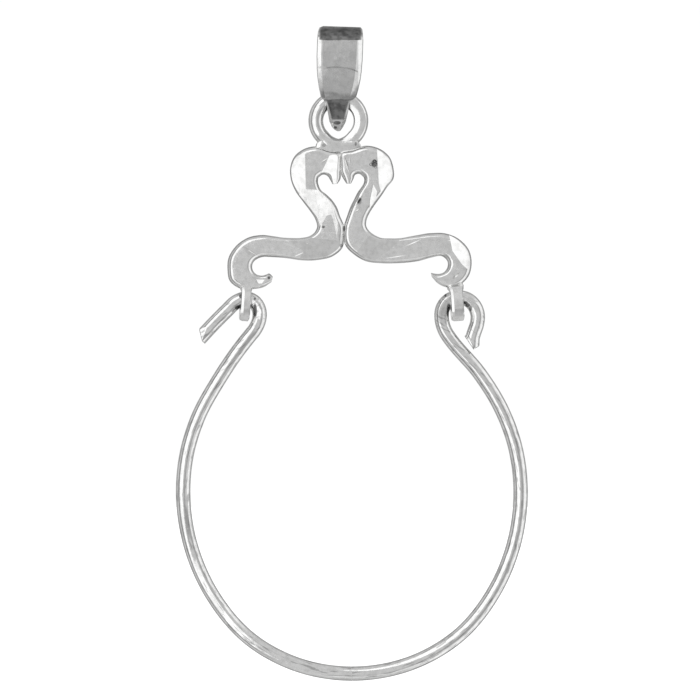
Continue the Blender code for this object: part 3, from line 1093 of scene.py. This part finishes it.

    # Painted shade, with some tarnish, in the recesses: the pits, the graver's strokes and the joins round
    # the solder and between the scrolls
    RECESSES = rows_of(
        Spot,
        (2.28, -8.74, 0.26, 0.28, 0.85), (1.27, -11.25, 0.16, 0.28, 0.55),
        (0.25, -13.10, 0.10, 0.22, 0.50), (0.05, -14.25, 0.12, 0.14, 0.60),
        (-1.15, -13.0, 0.14, 0.12, 0.60), (-4.80, -16.42, 0.12, 0.12, 0.80),
        (-0.20, -8.00, 0.22, 0.10, 0.45), (-1.10, -7.50, 0.16, 0.14, 0.55),
        (1.02, -7.42, 0.08, 0.14, 0.60),
    )

    def scroll_ring(self, outer: Vector, inner: Vector) -> list[Vector]:
        """Finds a scroll's section between two edge points.

        Args:
            outer: The point on the outer edge.
            inner: The point on the inner edge.

        Returns:
            The section's corners: flat back, upright sides, rounded rims and a low crown.
        """
        across = inner - outer
        width = across.length
        across.normalize()
        size = min(1.0, self.rim_share * width / (self.RIM[-1][0] * MM))
        foot = self.back_rim * size
        back = self.thickness / 2
        front = self.crown - back
        rim = [(along * size * MM, front + depth * size * MM) for along, depth in self.RIM]
        face = width - 2 * rim[-1][0]
        crown = []
        for share in self.CROWN:
            crown.append((width / 2 + share * face / 2, front - self.crown * (1 - share**2)))
        section = [(width, back - foot), (width - foot, back), (foot, back), (0.0, back - foot)]
        section += rim + crown + [(width - along, depth) for along, depth in reversed(rim)]
        return [outer + across * along + Vector((0, depth, 0)) for along, depth in section]

    def scroll(self, side: Side) -> bpy.types.Object:
        """Extrudes one scroll, from beside the heart over its lobe, out along its arm and round its curl.

        Args:
            side: The frame's half.

        Returns:
            The plain scroll.
        """
        waist_z = self.lobe_top_z - self.lobe_height
        edges = []
        for rows, span, top, height in (
            (self.LOBE[side], self.lobe_half_width[side], self.lobe_top_z, self.lobe_height),
            (self.ARM[side], self.arm_reach[side], waist_z, self.curl_drop),
        ):
            for row in rows:
                outer = (side.value * row.outer_x * span, top - row.outer_fall * height)
                inner = (side.value * row.inner_x * span, top - row.inner_fall * height)
                edges.append((*outer, *inner))
        rings = []
        for outer_x, outer_z, inner_x, inner_z in smooth_rows(edges, STATION_SPACING):
            rings.append(self.scroll_ring(Vector((outer_x, 0, outer_z)), Vector((inner_x, 0, inner_z))))
        return Bench.extrude_through("scroll_" + side.name.lower(), rings, closed=False)

    def ring(self) -> bpy.types.Object:
        """Bends the top ring, whose two ends meet in a point at its foot.

        Returns:
            The ring, worn flat on its front and rubbed at a slant on the right half of its inside.
        """
        tilt = math.tan(math.radians(self.ring_flat_lean))
        slope = math.tan(math.radians(self.ring_rub_lean))
        rings = []
        for step in range(self.ring_steps):
            turn = 360.0 * step / self.ring_steps
            from_foot = min(turn, 360.0 - turn)
            notch = self.ring_notch * max(0.0, 1 - from_foot / self.ring_notch_angle)
            angle = math.radians(turn)
            out = Vector((math.sin(angle), 0, -math.cos(angle)))
            middle = Vector((self.ring_x, 0, self.ring_z)) + out * (self.ring_radius + notch)
            section = []
            for side in range(self.ring_sides):
                round_wire = 2 * math.pi * side / self.ring_sides
                corner = middle + out * (math.cos(round_wire) * self.ring_wire / 2)
                flat = tilt * corner.x - self.ring_flat
                inward = -math.cos(round_wire) * self.ring_wire / 2 - self.ring_rub_inset
                if out.x > 0 and inward > 0:
                    flat += slope * inward
                corner.y = max(math.sin(round_wire) * self.ring_wire / 2, flat)
                section.append(corner)
            rings.append(section)
        return Bench.extrude_through("ring", rings, closed=True)

    def solder(self) -> bpy.types.Object:
        """Flows the solder that fills the valley under the ring.

        Returns:
            The solder, a rounded slab.
        """
        Bench.clear()
        bpy.ops.mesh.primitive_circle_add(vertices=len(self.SOLDER), radius=MM, fill_type="NGON")
        solder = Bench.name(bpy.context.object, "solder")
        with Bench.editing(solder) as mesh:
            mesh.verts.ensure_lookup_table()
            for corner, (x, z) in zip(mesh.verts, self.SOLDER):
                corner.co = (x * MM, self.solder_depth / 2, z * MM)
            bmesh.update_edit_mesh(solder.data)
            bpy.ops.mesh.select_all(action="SELECT")
            bpy.ops.mesh.extrude_region_move(TRANSFORM_OT_translate={"value": (0, -self.solder_depth, 0)})
            bpy.ops.mesh.select_all(action="SELECT")
            bpy.ops.mesh.bevel(offset=self.solder_round, segments=4, affect="EDGES")
        return Bench.tidy(solder)

    def eyelet(self, side: Side) -> bpy.types.Object:
        """Bends one eyelet: a strap that flares out of the curl and wraps the hoop's wire.

        Args:
            side: The curl that carries it.

        Returns:
            The eyelet, turned a little across the frame.
        """
        soft = self.eyelet_soft
        rings = []
        for turn, outer, width in smooth_rows(self.EYELET, self.eyelet_spacing)[:-1]:
            angle = math.radians(turn)
            way = Vector((0, -math.sin(angle), math.cos(angle)))
            half = width * self.eyelet_width[side] / 2
            low, high = self.eyelet_bore, outer * MM
            section = (
                (half - soft, low), (half, low + soft), (half, high - 1.2 * soft), (half - 0.6 * soft, high),
                (1.9 * soft - half, high), (0.3 * soft - half, high - 0.7 * soft),
                (-half, high - 1.4 * soft), (-half, low + soft), (soft - half, low),
            )
            rings.append([Vector((across, 0, 0)) + way * out for across, out in section])
        strap = Bench.extrude_through("eyelet_" + side.name.lower(), rings, closed=True)
        turned = Matrix.Rotation(math.radians(self.eyelet_turn[side]), 4, "Z")
        turned @= Matrix.Rotation(math.radians(self.eyelet_lean[side]), 4, "Y")
        strap.matrix_world = Matrix.Translation((self.eyelet_x[side], 0, self.eyelet_z)) @ turned
        return Bench.settle(strap)

    def build(self, cast: Silver, cut: Silver) -> bpy.types.Object:
        """Makes the whole frame.

        Args:
            cast: The finish of the cast and polished metal.
            cut: The finish of the diamond-cut flats.

        Returns:
            The soldered frame.
        """
        cast_metal, cut_metal = cast.make(), cut.make()
        cutter = Cutter(front_y=-self.thickness / 2)
        scrolls = {}
        for side in Side:
            scrolls[side] = self.scroll(side)
            scrolls[side].data.materials.append(cast_metal)
            scrolls[side].data.materials.append(cut_metal)
            cutter.mark(scrolls[side], self.MARKS[side])
        frame = Bench.name(scrolls[Side.LEFT], "frame_silver")
        others = [scrolls[Side.RIGHT], self.ring(), self.solder()]
        others += [self.eyelet(side) for side in Side]
        for other in others:
            if not other.data.materials:
                other.data.materials.append(cast_metal)
                other.data.materials.append(cut_metal)
            Bench.work(frame, other, Join.FUSE)
        Bench.shade(frame, self.crisp_angle)
        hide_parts("frame")
        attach(frame, "frame")
        return frame


@dataclass
class Bail:
    """The bail: a tapered strap bent into a teardrop loop, with bevelled edges and a narrow tongue.

    Args:
        height: Its full height.
        width: The strap's greatest width.
        depth: The loop's greatest depth.
        thickness: The strap's thickness.
        top: The height of its top.
        lean: Degrees that it leans to the right.
        bevel_left: The width and the fall of the bevel on the left.
        bevel_right: The same on the right.
        edge: The width and the fall of the soft edge beside each bevel.
        crown_width: How wide the strap is on top of its bend, as a share.
        crown_bevel: How much of its bevels it has there, as a share.
        shoulder: Where the top bend ends, as shares of the height and of half the depth.
        tip_half_width: How wide the strap's lower tip is, as a share.
        bend_steps: How many steps a quarter of the top bend has.
        bevel_room: The widest that the right bevel may be, as a share of half the strap.
        left_bevel_least: The least share of its full size that the left bevel keeps.
        crisp_angle: The angle in degrees from which an edge is crisp.
    """

    height: float = 7.05 * MM
    width: float = 3.10 * MM
    depth: float = 3.90 * MM
    thickness: float = 0.50 * MM
    top: float = 0.494 * MM
    lean: float = 1.9
    bevel_left: tuple[float, float] = (0.30 * MM, 0.11 * MM)
    bevel_right: tuple[float, float] = (0.42 * MM, 0.32 * MM)
    edge: tuple[float, float] = (0.055 * MM, 0.12 * MM)
    crown_width: float = 0.93
    crown_bevel: float = 0.30
    shoulder: tuple[float, float] = (0.138, 0.955)
    tip_half_width: float = 0.16
    bend_steps: int = 20
    bevel_room: float = 0.42
    left_bevel_least: float = 0.9
    crisp_angle: float = 24.0

    # The strap below its top bend
    STRAP = rows_of(
        Strap,
        (0.190, 0.983, 1.00), (0.300, 0.995, 1.00), (0.388, 0.974, 0.98), (0.400, 0.969, 0.98),
        (0.408, 0.962, 0.978), (0.420, 0.957, 0.975), (0.500, 0.925, 0.94), (0.600, 0.855, 0.86),
        (0.690, 0.755, 0.76, 1.0, 0.78), (0.712, 0.722, 0.70, 1.0, 0.76),
        (0.735, 0.665, 0.53, 1.0, 0.75), (0.790, 0.524, 0.48, 1.0, 0.82),
        (0.860, 0.345, 0.42, 1.0, 0.94), (0.925, 0.180, 0.36), (0.975, 0.055, 0.24),
    )

    # Painted shade in the tongue's hollows: a dark oval and a dark spot near its foot
    TONGUE = rows_of(
        Spot,
        (-0.23, -5.99, 0.27, 0.13, 1.0), (-0.34, -6.30, 0.12, 0.09, 1.0),
    )

    def profile(self) -> list[Strap]:
        """Draws the outer line down one side.

        Returns:
            Its stations, from the crown to the tip.
        """
        fall, reach = self.shoulder
        rows = []
        for step in range(self.bend_steps + 1):
            angle = math.pi / 2 * step / self.bend_steps
            width = self.crown_width + (1 - self.crown_width) * math.sin(angle)
            bevel = self.crown_bevel + (1 - self.crown_bevel) * math.sin(angle) ** 2
            rows.append(Strap(fall * (1 - math.cos(angle)), reach * math.sin(angle), width, bevel))
        return rows + list(self.STRAP) + [Strap(1.0, 0.0, self.tip_half_width)]

    def section(self, outer: Vector, inner: Vector, half: float, bevel: float) -> list[Vector]:
        """Finds the strap's section at one station.

        Args:
            outer: The middle of its outside.
            inner: The middle of its inside.
            half: Half its width.
            bevel: How much of the full bevels it has.

        Returns:
            The section's corners, with two bevels and softened edges.
        """
        inward = (inner - outer).normalized()
        depth = (inner - outer).length
        right = min(bevel, self.bevel_room * half / self.bevel_right[0])
        left = max(right, self.left_bevel_least)
        corners = []
        for sign, share, (width, fall) in ((1, right, self.bevel_right), (-1, left, self.bevel_left)):
            low = (fall + self.edge[1]) * share
            edge = [(half, depth), (half, low), (half - self.edge[0] * share, fall * share)]
            edge.append((half - width * share, 0.0))
            corners.append([outer + Vector((sign * across, 0, 0)) + inward * down for across, down in edge])
        return corners[0] + corners[1][::-1]

    def build(self, strap: Silver) -> bpy.types.Object:
        """Bends the strap round and dresses it.

        Args:
            strap: The strap's finish.

        Returns:
            The bail.
        """
        down = self.profile()
        rows = [(-1, row) for row in down] + [(1, row) for row in reversed(down[1:-1])]
        line = []
        for sign, row in rows:
            line.append(Vector((0, sign * row.reach * self.depth / 2, self.top - row.fall * self.height)))
        rings = []
        for i, outer in enumerate(line):
            before = (outer - line[i - 1]).normalized()
            after = (line[(i + 1) % len(line)] - outer).normalized()
            square = [Vector((0, -step.z, step.y)) for step in (before, after)]
            mitre = (square[0] + square[1]) / (1 + square[0].dot(square[1]))
            row = rows[i][1]
            inner = outer + mitre * (self.thickness * row.thick)
            rings.append(self.section(outer, inner, row.half_width * self.width / 2, row.bevel))
        bail = Bench.extrude_through("bail_silver", rings, closed=True)
        bail.rotation_euler = (0, math.radians(self.lean), 0)
        Bench.settle(bail)
        bail.data.materials.append(strap.make())
        Bench.shade(bail, self.crisp_angle)
        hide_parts("bail")
        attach(bail, "bail")
        return bail


@dataclass
class Hoop:
    """The hoop: one sprung wire with a hook on the left and an eye on the right.

    Args:
        wire: The wire's thickness.
        hinge_z: The height at which it crosses its eyelets.
        neck: How far the arc's middle lies below that.
        lean: Degrees that the arc turns to the right.
        eyelet_left: Where the hook crosses its eyelet.
        eyelet_right: Where the eye crosses its eyelet.
        shift: How far the arc's middle lies to the right of the middle between them.
        sides: How many corners the wire's section has.
        flat_limit: The least cosine of the angle off the flat's middle at which it still cuts the wire.
        burr: The width of the small bevel round both ends.
        trim_room: How close to a cut a station may lie.
        bevel_front: How far the front of the bevelled ends lies before the wire's middle, as a share.
        end_reach: How far from a cut's point its face may be, in wire diameters.
        square_on: The least cosine between an end's face and its direction.
        crisp_angle: The angle in degrees from which an edge is crisp.
    """

    wire: float = 0.985 * MM
    hinge_z: float = -17.813 * MM
    neck: float = 13.73 * MM
    lean: float = 1.3
    eyelet_left: float = -6.422 * MM
    eyelet_right: float = 7.806 * MM
    shift: float = 0.09 * MM
    sides: int = 48
    flat_limit: float = 0.2
    burr: float = 0.05 * MM
    trim_room: float = 0.02 * MM
    bevel_front: float = 0.47
    end_reach: float = 0.8
    square_on: float = 0.98
    crisp_angle: float = 22.0

    # The radius of the arc
    radius = 11.44 * MM
    # The flat on the wire's front: how far along it is, degrees that it leans to the hoop's inside, and its
    # distance from the wire's middle as a share of the radius
    FLATS = (
        (0.00, -5.0, 0.930), (0.10, -5.0, 0.930), (0.13, -5.0, 0.94), (0.18, 20.0, 0.97),
        (0.21, 26.0, 0.970), (0.30, 28.0, 0.972), (0.35, -4.0, 0.93), (0.42, -6.0, 0.92),
        (0.47, 0.0, 0.92), (0.53, 0.0, 0.95), (0.58, 0.0, 1.00), (0.72, 0.0, 1.00), (0.79, -2.0, 0.97),
        (0.84, -4.0, 0.94), (0.865, -8.0, 0.88), (0.90, -8.0, 0.87), (0.93, 0.0, 0.93),
        (0.96, 0.0, 0.96), (1.00, 0.0, 0.95),
    )
    # Cuts at its tail and at the end of its eye: a point in millimetres and the way of the metal that goes
    CUTS = (
        ((-9.42, 0.0, -20.26), (-0.97, 0.0, -0.24)),
        ((8.66, 0.0, -20.81), (-0.83, 0.0, -0.56)),
    )
    # The ends' own corners, which the cuts leave too long, and how the metal there goes
    TIPS = (
        ((-9.31, 0.0, -20.70), (-0.548, 0.0, -0.836)),
        ((9.15, 0.0, -21.12), (0.500, 0.0, -0.865)),
    )
    # The slanting ends of the wire
    BEVELS = (
        Facet("tail_tip", ((-9.46, -20.60), (-9.17, -20.79), (-9.0, -21.5), (-9.9, -21.5)), 0.0, 0.0, 1.2),
        Facet("tail_bevel", (
            (-9.14, -20.23), (-8.60, -18.95), (-10.4, -18.95), (-10.4, -21.6), (-9.70, -21.6),
        ), -22.0, 6.5),
        Facet("eye_tip", (
            (8.931, -21.251), (9.523, -20.908), (9.523, -21.96), (9.205, -21.80), (8.951, -21.406),
        ), 0.0, 0.0, 1.2),
        Facet("eye_bevel", (
            (8.80, -20.70), (9.32, -21.48), (8.95, -21.80), (8.52, -21.25), (8.02, -20.50), (8.30, -19.86),
        ), -22.0, -6.0),
    )
    # Painted contact shade: dark patches on the wire where it passes through the eyelets
    WORN = rows_of(
        Spot,
        (-6.70, -17.66, 0.14, 0.16, 0.95), (-6.80, -18.42, 0.34, 0.20, 0.95),
        (-5.76, -17.82, 0.08, 0.10, 0.80), (-5.74, -18.62, 0.15, 0.55, 0.95),
        (7.05, -17.50, 0.09, 0.26, 0.90), (7.28, -18.60, 0.16, 0.52, 0.95),
        (8.36, -18.09, 0.26, 0.12, 0.95), (8.56, -18.25, 0.18, 0.16, 0.90),
        (8.74, -18.50, 0.11, 0.22, 0.75),
    )
    ARC = rows_of(
        Arc,
        (0, 1.006), (20, 1.006), (38, 1.002), (58, 0.985), (78, 0.983), (94, 0.995), (107, 1.013),
        (120, 1.035), (134, 1.067),
    )
    HOOK = rows_of(
        Bend,
        (-3.10, -2.74), (-2.86, -2.48), (-2.10, -1.67), (-1.30, -0.87), (-0.56, -0.20), (0.13, 0.00),
        (0.69, -0.28), (0.97, -0.83), (0.96, -1.43), (0.69, -2.07), (0.29, -2.58), (-0.07, -3.03),
    )
    EYE = rows_of(
        Bend,
        (-0.37, -2.83), (-0.71, -2.33), (-0.93, -1.80), (-1.02, -1.27), (-0.97, -0.73), (-0.70, -0.27),
        (-0.23, 0.03), (0.33, 0.07), (0.87, -0.13), (1.27, -0.57), (1.45, -1.13), (1.40, -1.73),
        (1.20, -2.33), (1.04, -2.95), (1.04, -3.27),
    )

    @classmethod
    def middle(cls) -> Vector:
        """The middle of the hoop's arc."""
        middle_x = (cls.eyelet_left + cls.eyelet_right) / 2 + cls.shift
        return Vector((middle_x, 0, cls.hinge_z - cls.neck))

    def route(self) -> list[Vector]:
        """Draws the middle line of the wire.

        Returns:
            Its points, from the hook's tail round the arc to the end of the eye.
        """
        arc = []
        for sign, rows in ((-1, reversed(self.ARC)), (1, self.ARC[1:])):
            for row in rows:
                angle = math.radians(sign * row.angle + self.lean)
                radius = row.radius * self.radius
                out = (radius * math.sin(angle), 0, -radius * math.cos(angle))
                arc.append(self.middle() + Vector(out))
        ends = []
        for eyelet_x, bends in ((self.eyelet_left, self.HOOK), (self.eyelet_right, self.EYE)):
            start = Vector((eyelet_x, 0, self.hinge_z))
            ends.append([start + Vector((bend.right, 0, bend.up)) * self.wire for bend in bends])
        hook = smooth_rows(ends[0], WIRE_SPACING)
        eye = smooth_rows(ends[1], WIRE_SPACING)
        # The arc's curve takes in a little of both, so that it meets them without a corner
        bow = smooth_rows([hook[-3], hook[-1], *arc, eye[0], eye[2]], 2 * WIRE_SPACING)
        return hook[:-3] + bow + eye[3:]

    def section(self, middle: Vector, way: Vector, share: float) -> list[Vector]:
        """Finds the wire's section at one station, with the flat that forming left on its front.

        Args:
            middle: The wire's middle there.
            way: The direction of the wire.
            share: How far along the wire it is, from 0 to 1.

        Returns:
            The section's corners.
        """
        before = max((row for row in self.FLATS if row[0] <= share), key=lambda row: row[0])
        after = min((row for row in self.FLATS if row[0] >= share), key=lambda row: row[0])
        step = (share - before[0]) / max(1e-6, after[0] - before[0])
        lean, flat = (low + (high - low) * step for low, high in zip(before[1:], after[1:]))
        side = way.cross(Vector((0, 1, 0)))
        corners = []
        for number in range(self.sides):
            turn = 2 * math.pi * number / self.sides
            cosine = math.cos(turn - math.radians(lean))
            radius = self.wire / 2 * (min(1.0, flat / cosine) if cosine > self.flat_limit else 1.0)
            corners.append(middle + (side * math.sin(turn) - Vector((0, math.cos(turn), 0))) * radius)
        return corners

    def trim(self, rings: Rings, way: Vector, place: Vector, away: Vector) -> Rings:
        """Ends the wire on a slanting plane.

        Args:
            rings: The wire's sections, the last one at the end that is cut.
            way: The direction of the wire there.
            place: A point of the cut.
            away: The direction of the metal that goes.

        Returns:
            The sections that are left, and one that lies on the cut.
        """
        last = rings[-1]
        while any((corner - place).dot(away) > -self.trim_room for corner in rings[-1]):
            rings = rings[:-1]
        steep = way.dot(away)
        return rings + [[corner + way * ((place - corner).dot(away) / steep) for corner in last]]

    def build(self, drawn: Silver) -> bpy.types.Object:
        """Bends and dresses the hoop.

        Args:
            drawn: The wire's finish.

        Returns:
            The hoop.
        """
        line = self.route()
        rings = []
        for number, middle in enumerate(line):
            way = (line[min(number + 1, len(line) - 1)] - line[max(number - 1, 0)]).normalized()
            rings.append(self.section(middle, way, number / (len(line) - 1)))
        for place, away in self.CUTS:
            rings.reverse()
            line.reverse()
            way = (line[-1] - line[-2]).normalized()
            rings = self.trim(rings, way, Vector(place) * MM, Vector(away).normalized())
        hoop = Bench.extrude_through("hoop_silver", rings, closed=False)
        metal = drawn.make()
        hoop.data.materials.append(metal)
        hoop.data.materials.append(metal)
        Cutter(front_y=-self.bevel_front * self.wire).mark(hoop, self.BEVELS)
        with Bench.editing(hoop) as mesh:
            for face in mesh.faces:
                for place, away in self.CUTS + self.TIPS:
                    gap = (face.calc_center_median() - Vector(place) * MM).length
                    near = gap < self.end_reach * self.wire
                    if near and face.normal.dot(Vector(away).normalized()) > self.square_on:
                        face.select = True
            bmesh.update_edit_mesh(hoop.data)
            bpy.ops.mesh.bevel(offset=self.burr, segments=1, affect="EDGES")
        Bench.shade(hoop, self.crisp_angle)
        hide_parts("hoop")
        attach(hoop, "hoop")
        return hoop


@dataclass
class Studio:
    """A pale floor, a white tent with cards round the camera, a soft box and the camera.

    Args:
        floor_z: The height of the floor.
        floor_side: How wide and deep it is.
        lens: The camera's focal length in millimetres.
        sensor: The width of its sensor in millimetres.
        box_distance: How far the soft box hangs from the metal.
        box_aim_z: The height at which it aims.
        key_azimuth: Degrees that it hangs to the right of the camera.
        key_elevation: Degrees that it hangs above the metal.
        key_size: Its width and height in degrees, as the metal sees it.
        key_tone: How bright its face is, where 1 is white.
        paper: The tone of the floor.
        paper_glow: How strongly the light in the tent makes it glow.
        tent_front: The tent's tone round the camera.
        tent_side: Its tone at the sides.
        tent_folds: How much its folds change that.
        ring_edge: How soft the dim rings' borders are, in degrees.
        backdrop: The tone that the camera itself sees.
    """

    floor_z: float = -52.0 * MM
    floor_side: float = 2.0
    lens: float = 400.0
    sensor: float = 36.0
    box_distance: float = 0.70
    box_aim_z: float = -20.0 * MM
    key_azimuth: float = -29.5
    key_elevation: float = 19.0
    key_size: tuple[float, float] = (49.0, 82.0)
    key_tone: float = 0.60
    paper: float = 0.9
    paper_glow: float = 0.75
    tent_front: float = 0.58
    tent_side: float = 0.62
    tent_folds: float = 0.34
    ring_edge: float = 5.0
    backdrop: float = 1.02

    # Cards round the camera: the middle, half width and softness of each in degrees round the axis, its
    # start, end and softness in degrees off the axis, and its tone
    CARDS = (
        (-20.0, 50.0, 12.0, 16.0, 44.0, 6.0, 0.38),
        (-12.0, 55.0, 8.0, 57.0, 104.0, 4.0, 1.00),
        (-75.0, 22.0, 10.0, 46.0, 66.0, 5.0, 0.80),
        (90.0, 46.0, 14.0, 24.0, 50.0, 6.0, 0.66),
        (180.0, 60.0, 12.0, 62.0, 80.0, 4.0, 0.26),
    )
    # Rings behind the metal, which draw its outlines: their start, end and tone
    DIM = ((106.0, 160.0, 0.48), (121.0, 131.0, 0.26))

    def floor(self) -> None:
        """Lays the floor, a sheet of pale paper that stays out of the metal's reflections."""
        Bench.clear()
        bpy.ops.mesh.primitive_plane_add(size=self.floor_side, location=(0, 0, self.floor_z))
        floor = Bench.name(bpy.context.object, "floor")
        material = bpy.data.materials.new("pale_paper")
        material.use_nodes = True
        shader = Shader(material.node_tree)
        fibre = shader.noise(shader.place(), 900.0, 2.0)
        sockets = {"Base Color": (self.paper, self.paper, self.paper, 1.0), "Roughness": 0.9 + fibre * 0.05}
        sockets |= {"Emission Color": (1.0, 1.0, 1.0, 1.0), "Emission Strength": self.paper_glow}
        surface = shader.node("ShaderNodeBsdfPrincipled", {}, sockets)
        shader.node("ShaderNodeOutputMaterial", {}, {"Surface": surface.outputs[0]})
        floor.data.materials.append(material)
        floor.visible_glossy = False
        floor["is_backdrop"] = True

    def tent(self) -> None:
        """Lights the tent: grey folds, white and grey cards round the camera, dim rings behind the metal."""
        world = bpy.data.worlds.new("tent")
        bpy.context.scene.world = world
        world.use_nodes = True
        shader = Shader(world.node_tree)
        way = shader.value("ShaderNodeTexCoord", {}, {}, "Generated")
        x, y, z = shader.split(way)
        off = shader.value("ShaderNodeMath", {"operation": "ARCCOSINE"}, {0: 0.0 - y}) * (180.0 / math.pi)
        around = shader.value("ShaderNodeMath", {"operation": "SQRT"}, {0: x * x + z * z}).over(0.0001)

        def sector(middle: float, half: float, soft: float) -> Value:
            """Marks a sector round the camera's axis.

            Args:
                middle: The direction of its middle in degrees, counted from the right over the top.
                half: Half its width in degrees.
                soft: How soft its border is, in degrees.

            Returns:
                1 inside the sector and 0 outside.
            """
            along = (x * math.cos(math.radians(middle)) + z * math.sin(math.radians(middle))) / around
            low, high = (math.cos(math.radians(half + step)) for step in (soft, -soft))
            return along.ramp(low, high)

        fold = shader.noise(way, 5.0, 3.0, 0.55) - 0.5
        tone = off.ramp(48.0, 66.0, self.tent_front, self.tent_side) + fold * self.tent_folds
        for middle, half, soft, start, end, edge, white in self.CARDS:
            card = sector(middle, half, soft) * off.between(start, end, edge)
            tone = tone * (1.0 - card) + card * white
        for start, end, dim in self.DIM:
            behind = off.between(start, end, self.ring_edge)
            tone = tone * (1.0 - behind) + behind * dim
        seen = shader.value("ShaderNodeLightPath", {}, {}, "Is Camera Ray")
        strength = tone + seen * (self.backdrop - tone)
        surface = shader.node("ShaderNodeBackground", {}, {"Color": (1, 1, 1, 1), "Strength": strength})
        shader.node("ShaderNodeOutputWorld", {}, {"Surface": surface.outputs[0]})

    def soft_box(
        self, name: str, azimuth: float, elevation: float, size: tuple[float, float], tone: float
    ) -> None:
        """Hangs a soft box that faces the metal.

        Args:
            name: The light's name.
            azimuth: Degrees to the right of the camera.
            elevation: Degrees above the metal.
            size: Its width and height in degrees, as the metal sees it.
            tone: How bright its face is, where 1 is white.
        """
        width, height = (2 * self.box_distance * math.tan(math.radians(angle / 2)) for angle in size)
        lamp = bpy.data.lights.new(name, "AREA")
        lamp.shape = "RECTANGLE"
        lamp.size, lamp.size_y = width, height
        lamp.energy = tone * math.pi * width * height
        box = bpy.data.objects.new(name, lamp)
        bpy.context.scene.collection.objects.link(box)
        turn, rise = math.radians(azimuth), math.radians(elevation)
        way = Vector((math.sin(turn) * math.cos(rise), -math.cos(turn) * math.cos(rise), math.sin(rise)))
        box.location = Vector((0, 0, self.box_aim_z)) + way * self.box_distance
        box.rotation_mode = "QUATERNION"
        box.rotation_quaternion = (-way).to_track_quat("-Z", "Y")
        box.visible_camera = False

    def camera(self) -> None:
        """Sets the camera square to the front, framed as the photograph is."""
        lens = bpy.data.cameras.new("camera")
        lens.lens = self.lens
        lens.sensor_width = self.sensor
        camera = bpy.data.objects.new("camera", lens)
        bpy.context.scene.collection.objects.link(camera)
        distance = PHOTO_SIDE * PIXEL * self.lens / self.sensor
        lens.clip_end = 10 * distance
        right = (PHOTO_SIDE / 2 - ORIGIN_PIXEL[0]) * PIXEL
        down = (PHOTO_SIDE / 2 - ORIGIN_PIXEL[1]) * PIXEL
        camera.location = (right, -distance, -down)
        camera.rotation_euler = (math.pi / 2, 0, 0)
        bpy.context.scene.camera = camera

    def build(self) -> None:
        """Sets up the floor, the light and the camera."""
        self.floor()
        self.tent()
        self.soft_box("key_box", self.key_azimuth, self.key_elevation, self.key_size, self.key_tone)
        self.camera()
        bpy.context.scene.view_settings.view_transform = "Standard"


def corners(box: tuple[Vector, Vector]) -> list[list[float]]:
    """A box's two corners as plain lists."""
    return [list(corner) for corner in box]


def main() -> None:
    """Builds the charm holder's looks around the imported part."""
    logging.basicConfig(level=logging.INFO, format="%(message)s")
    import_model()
    packed = corners(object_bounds())
    cast = Silver(
        name="cast_silver", grain=Grain.ALONG_ARMS, roughness=0.10, haze=0.10, marks=0.0006 * MM,
        ripple=0.006 * MM, pit_share=0.05, spots=Frame.RECESSES,
    )
    cut = Silver(
        name="cut_silver", grain=Grain.TURNED, roughness=0.05, haze=0.05, marks=0.0003 * MM,
        ripple=0.002 * MM, pit_share=0.03, colour=(0.88, 0.88, 0.875, 1.0), dulled=(0.62, 0.62, 0.615, 1.0),
    )
    strap = StrapSilver(
        name="strap_silver", grain=Grain.UP_THE_STRAP, roughness=0.12, haze=0.12, marks=0.0006 * MM,
        ripple=0.004 * MM, pit_share=0.05, spots=Bail.TONGUE,
    )
    drawn = Silver(
        name="drawn_silver", grain=Grain.ROUND_THE_HOOP, roughness=0.08, haze=0.08, marks=0.0006 * MM,
        ripple=0.003 * MM, pit_share=0.04, spots=Hoop.WORN, lines=0.42,
    )
    pieces = [Bail().build(strap), Frame().build(cast, cut), Hoop().build(drawn)]
    for piece in pieces:
        LOG.info("%s: %d faces", piece.name, len(piece.data.polygons))
    Studio().build()
    {"cad": packed, "visual": corners(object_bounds())}


if __name__ == "__main__":
    main()
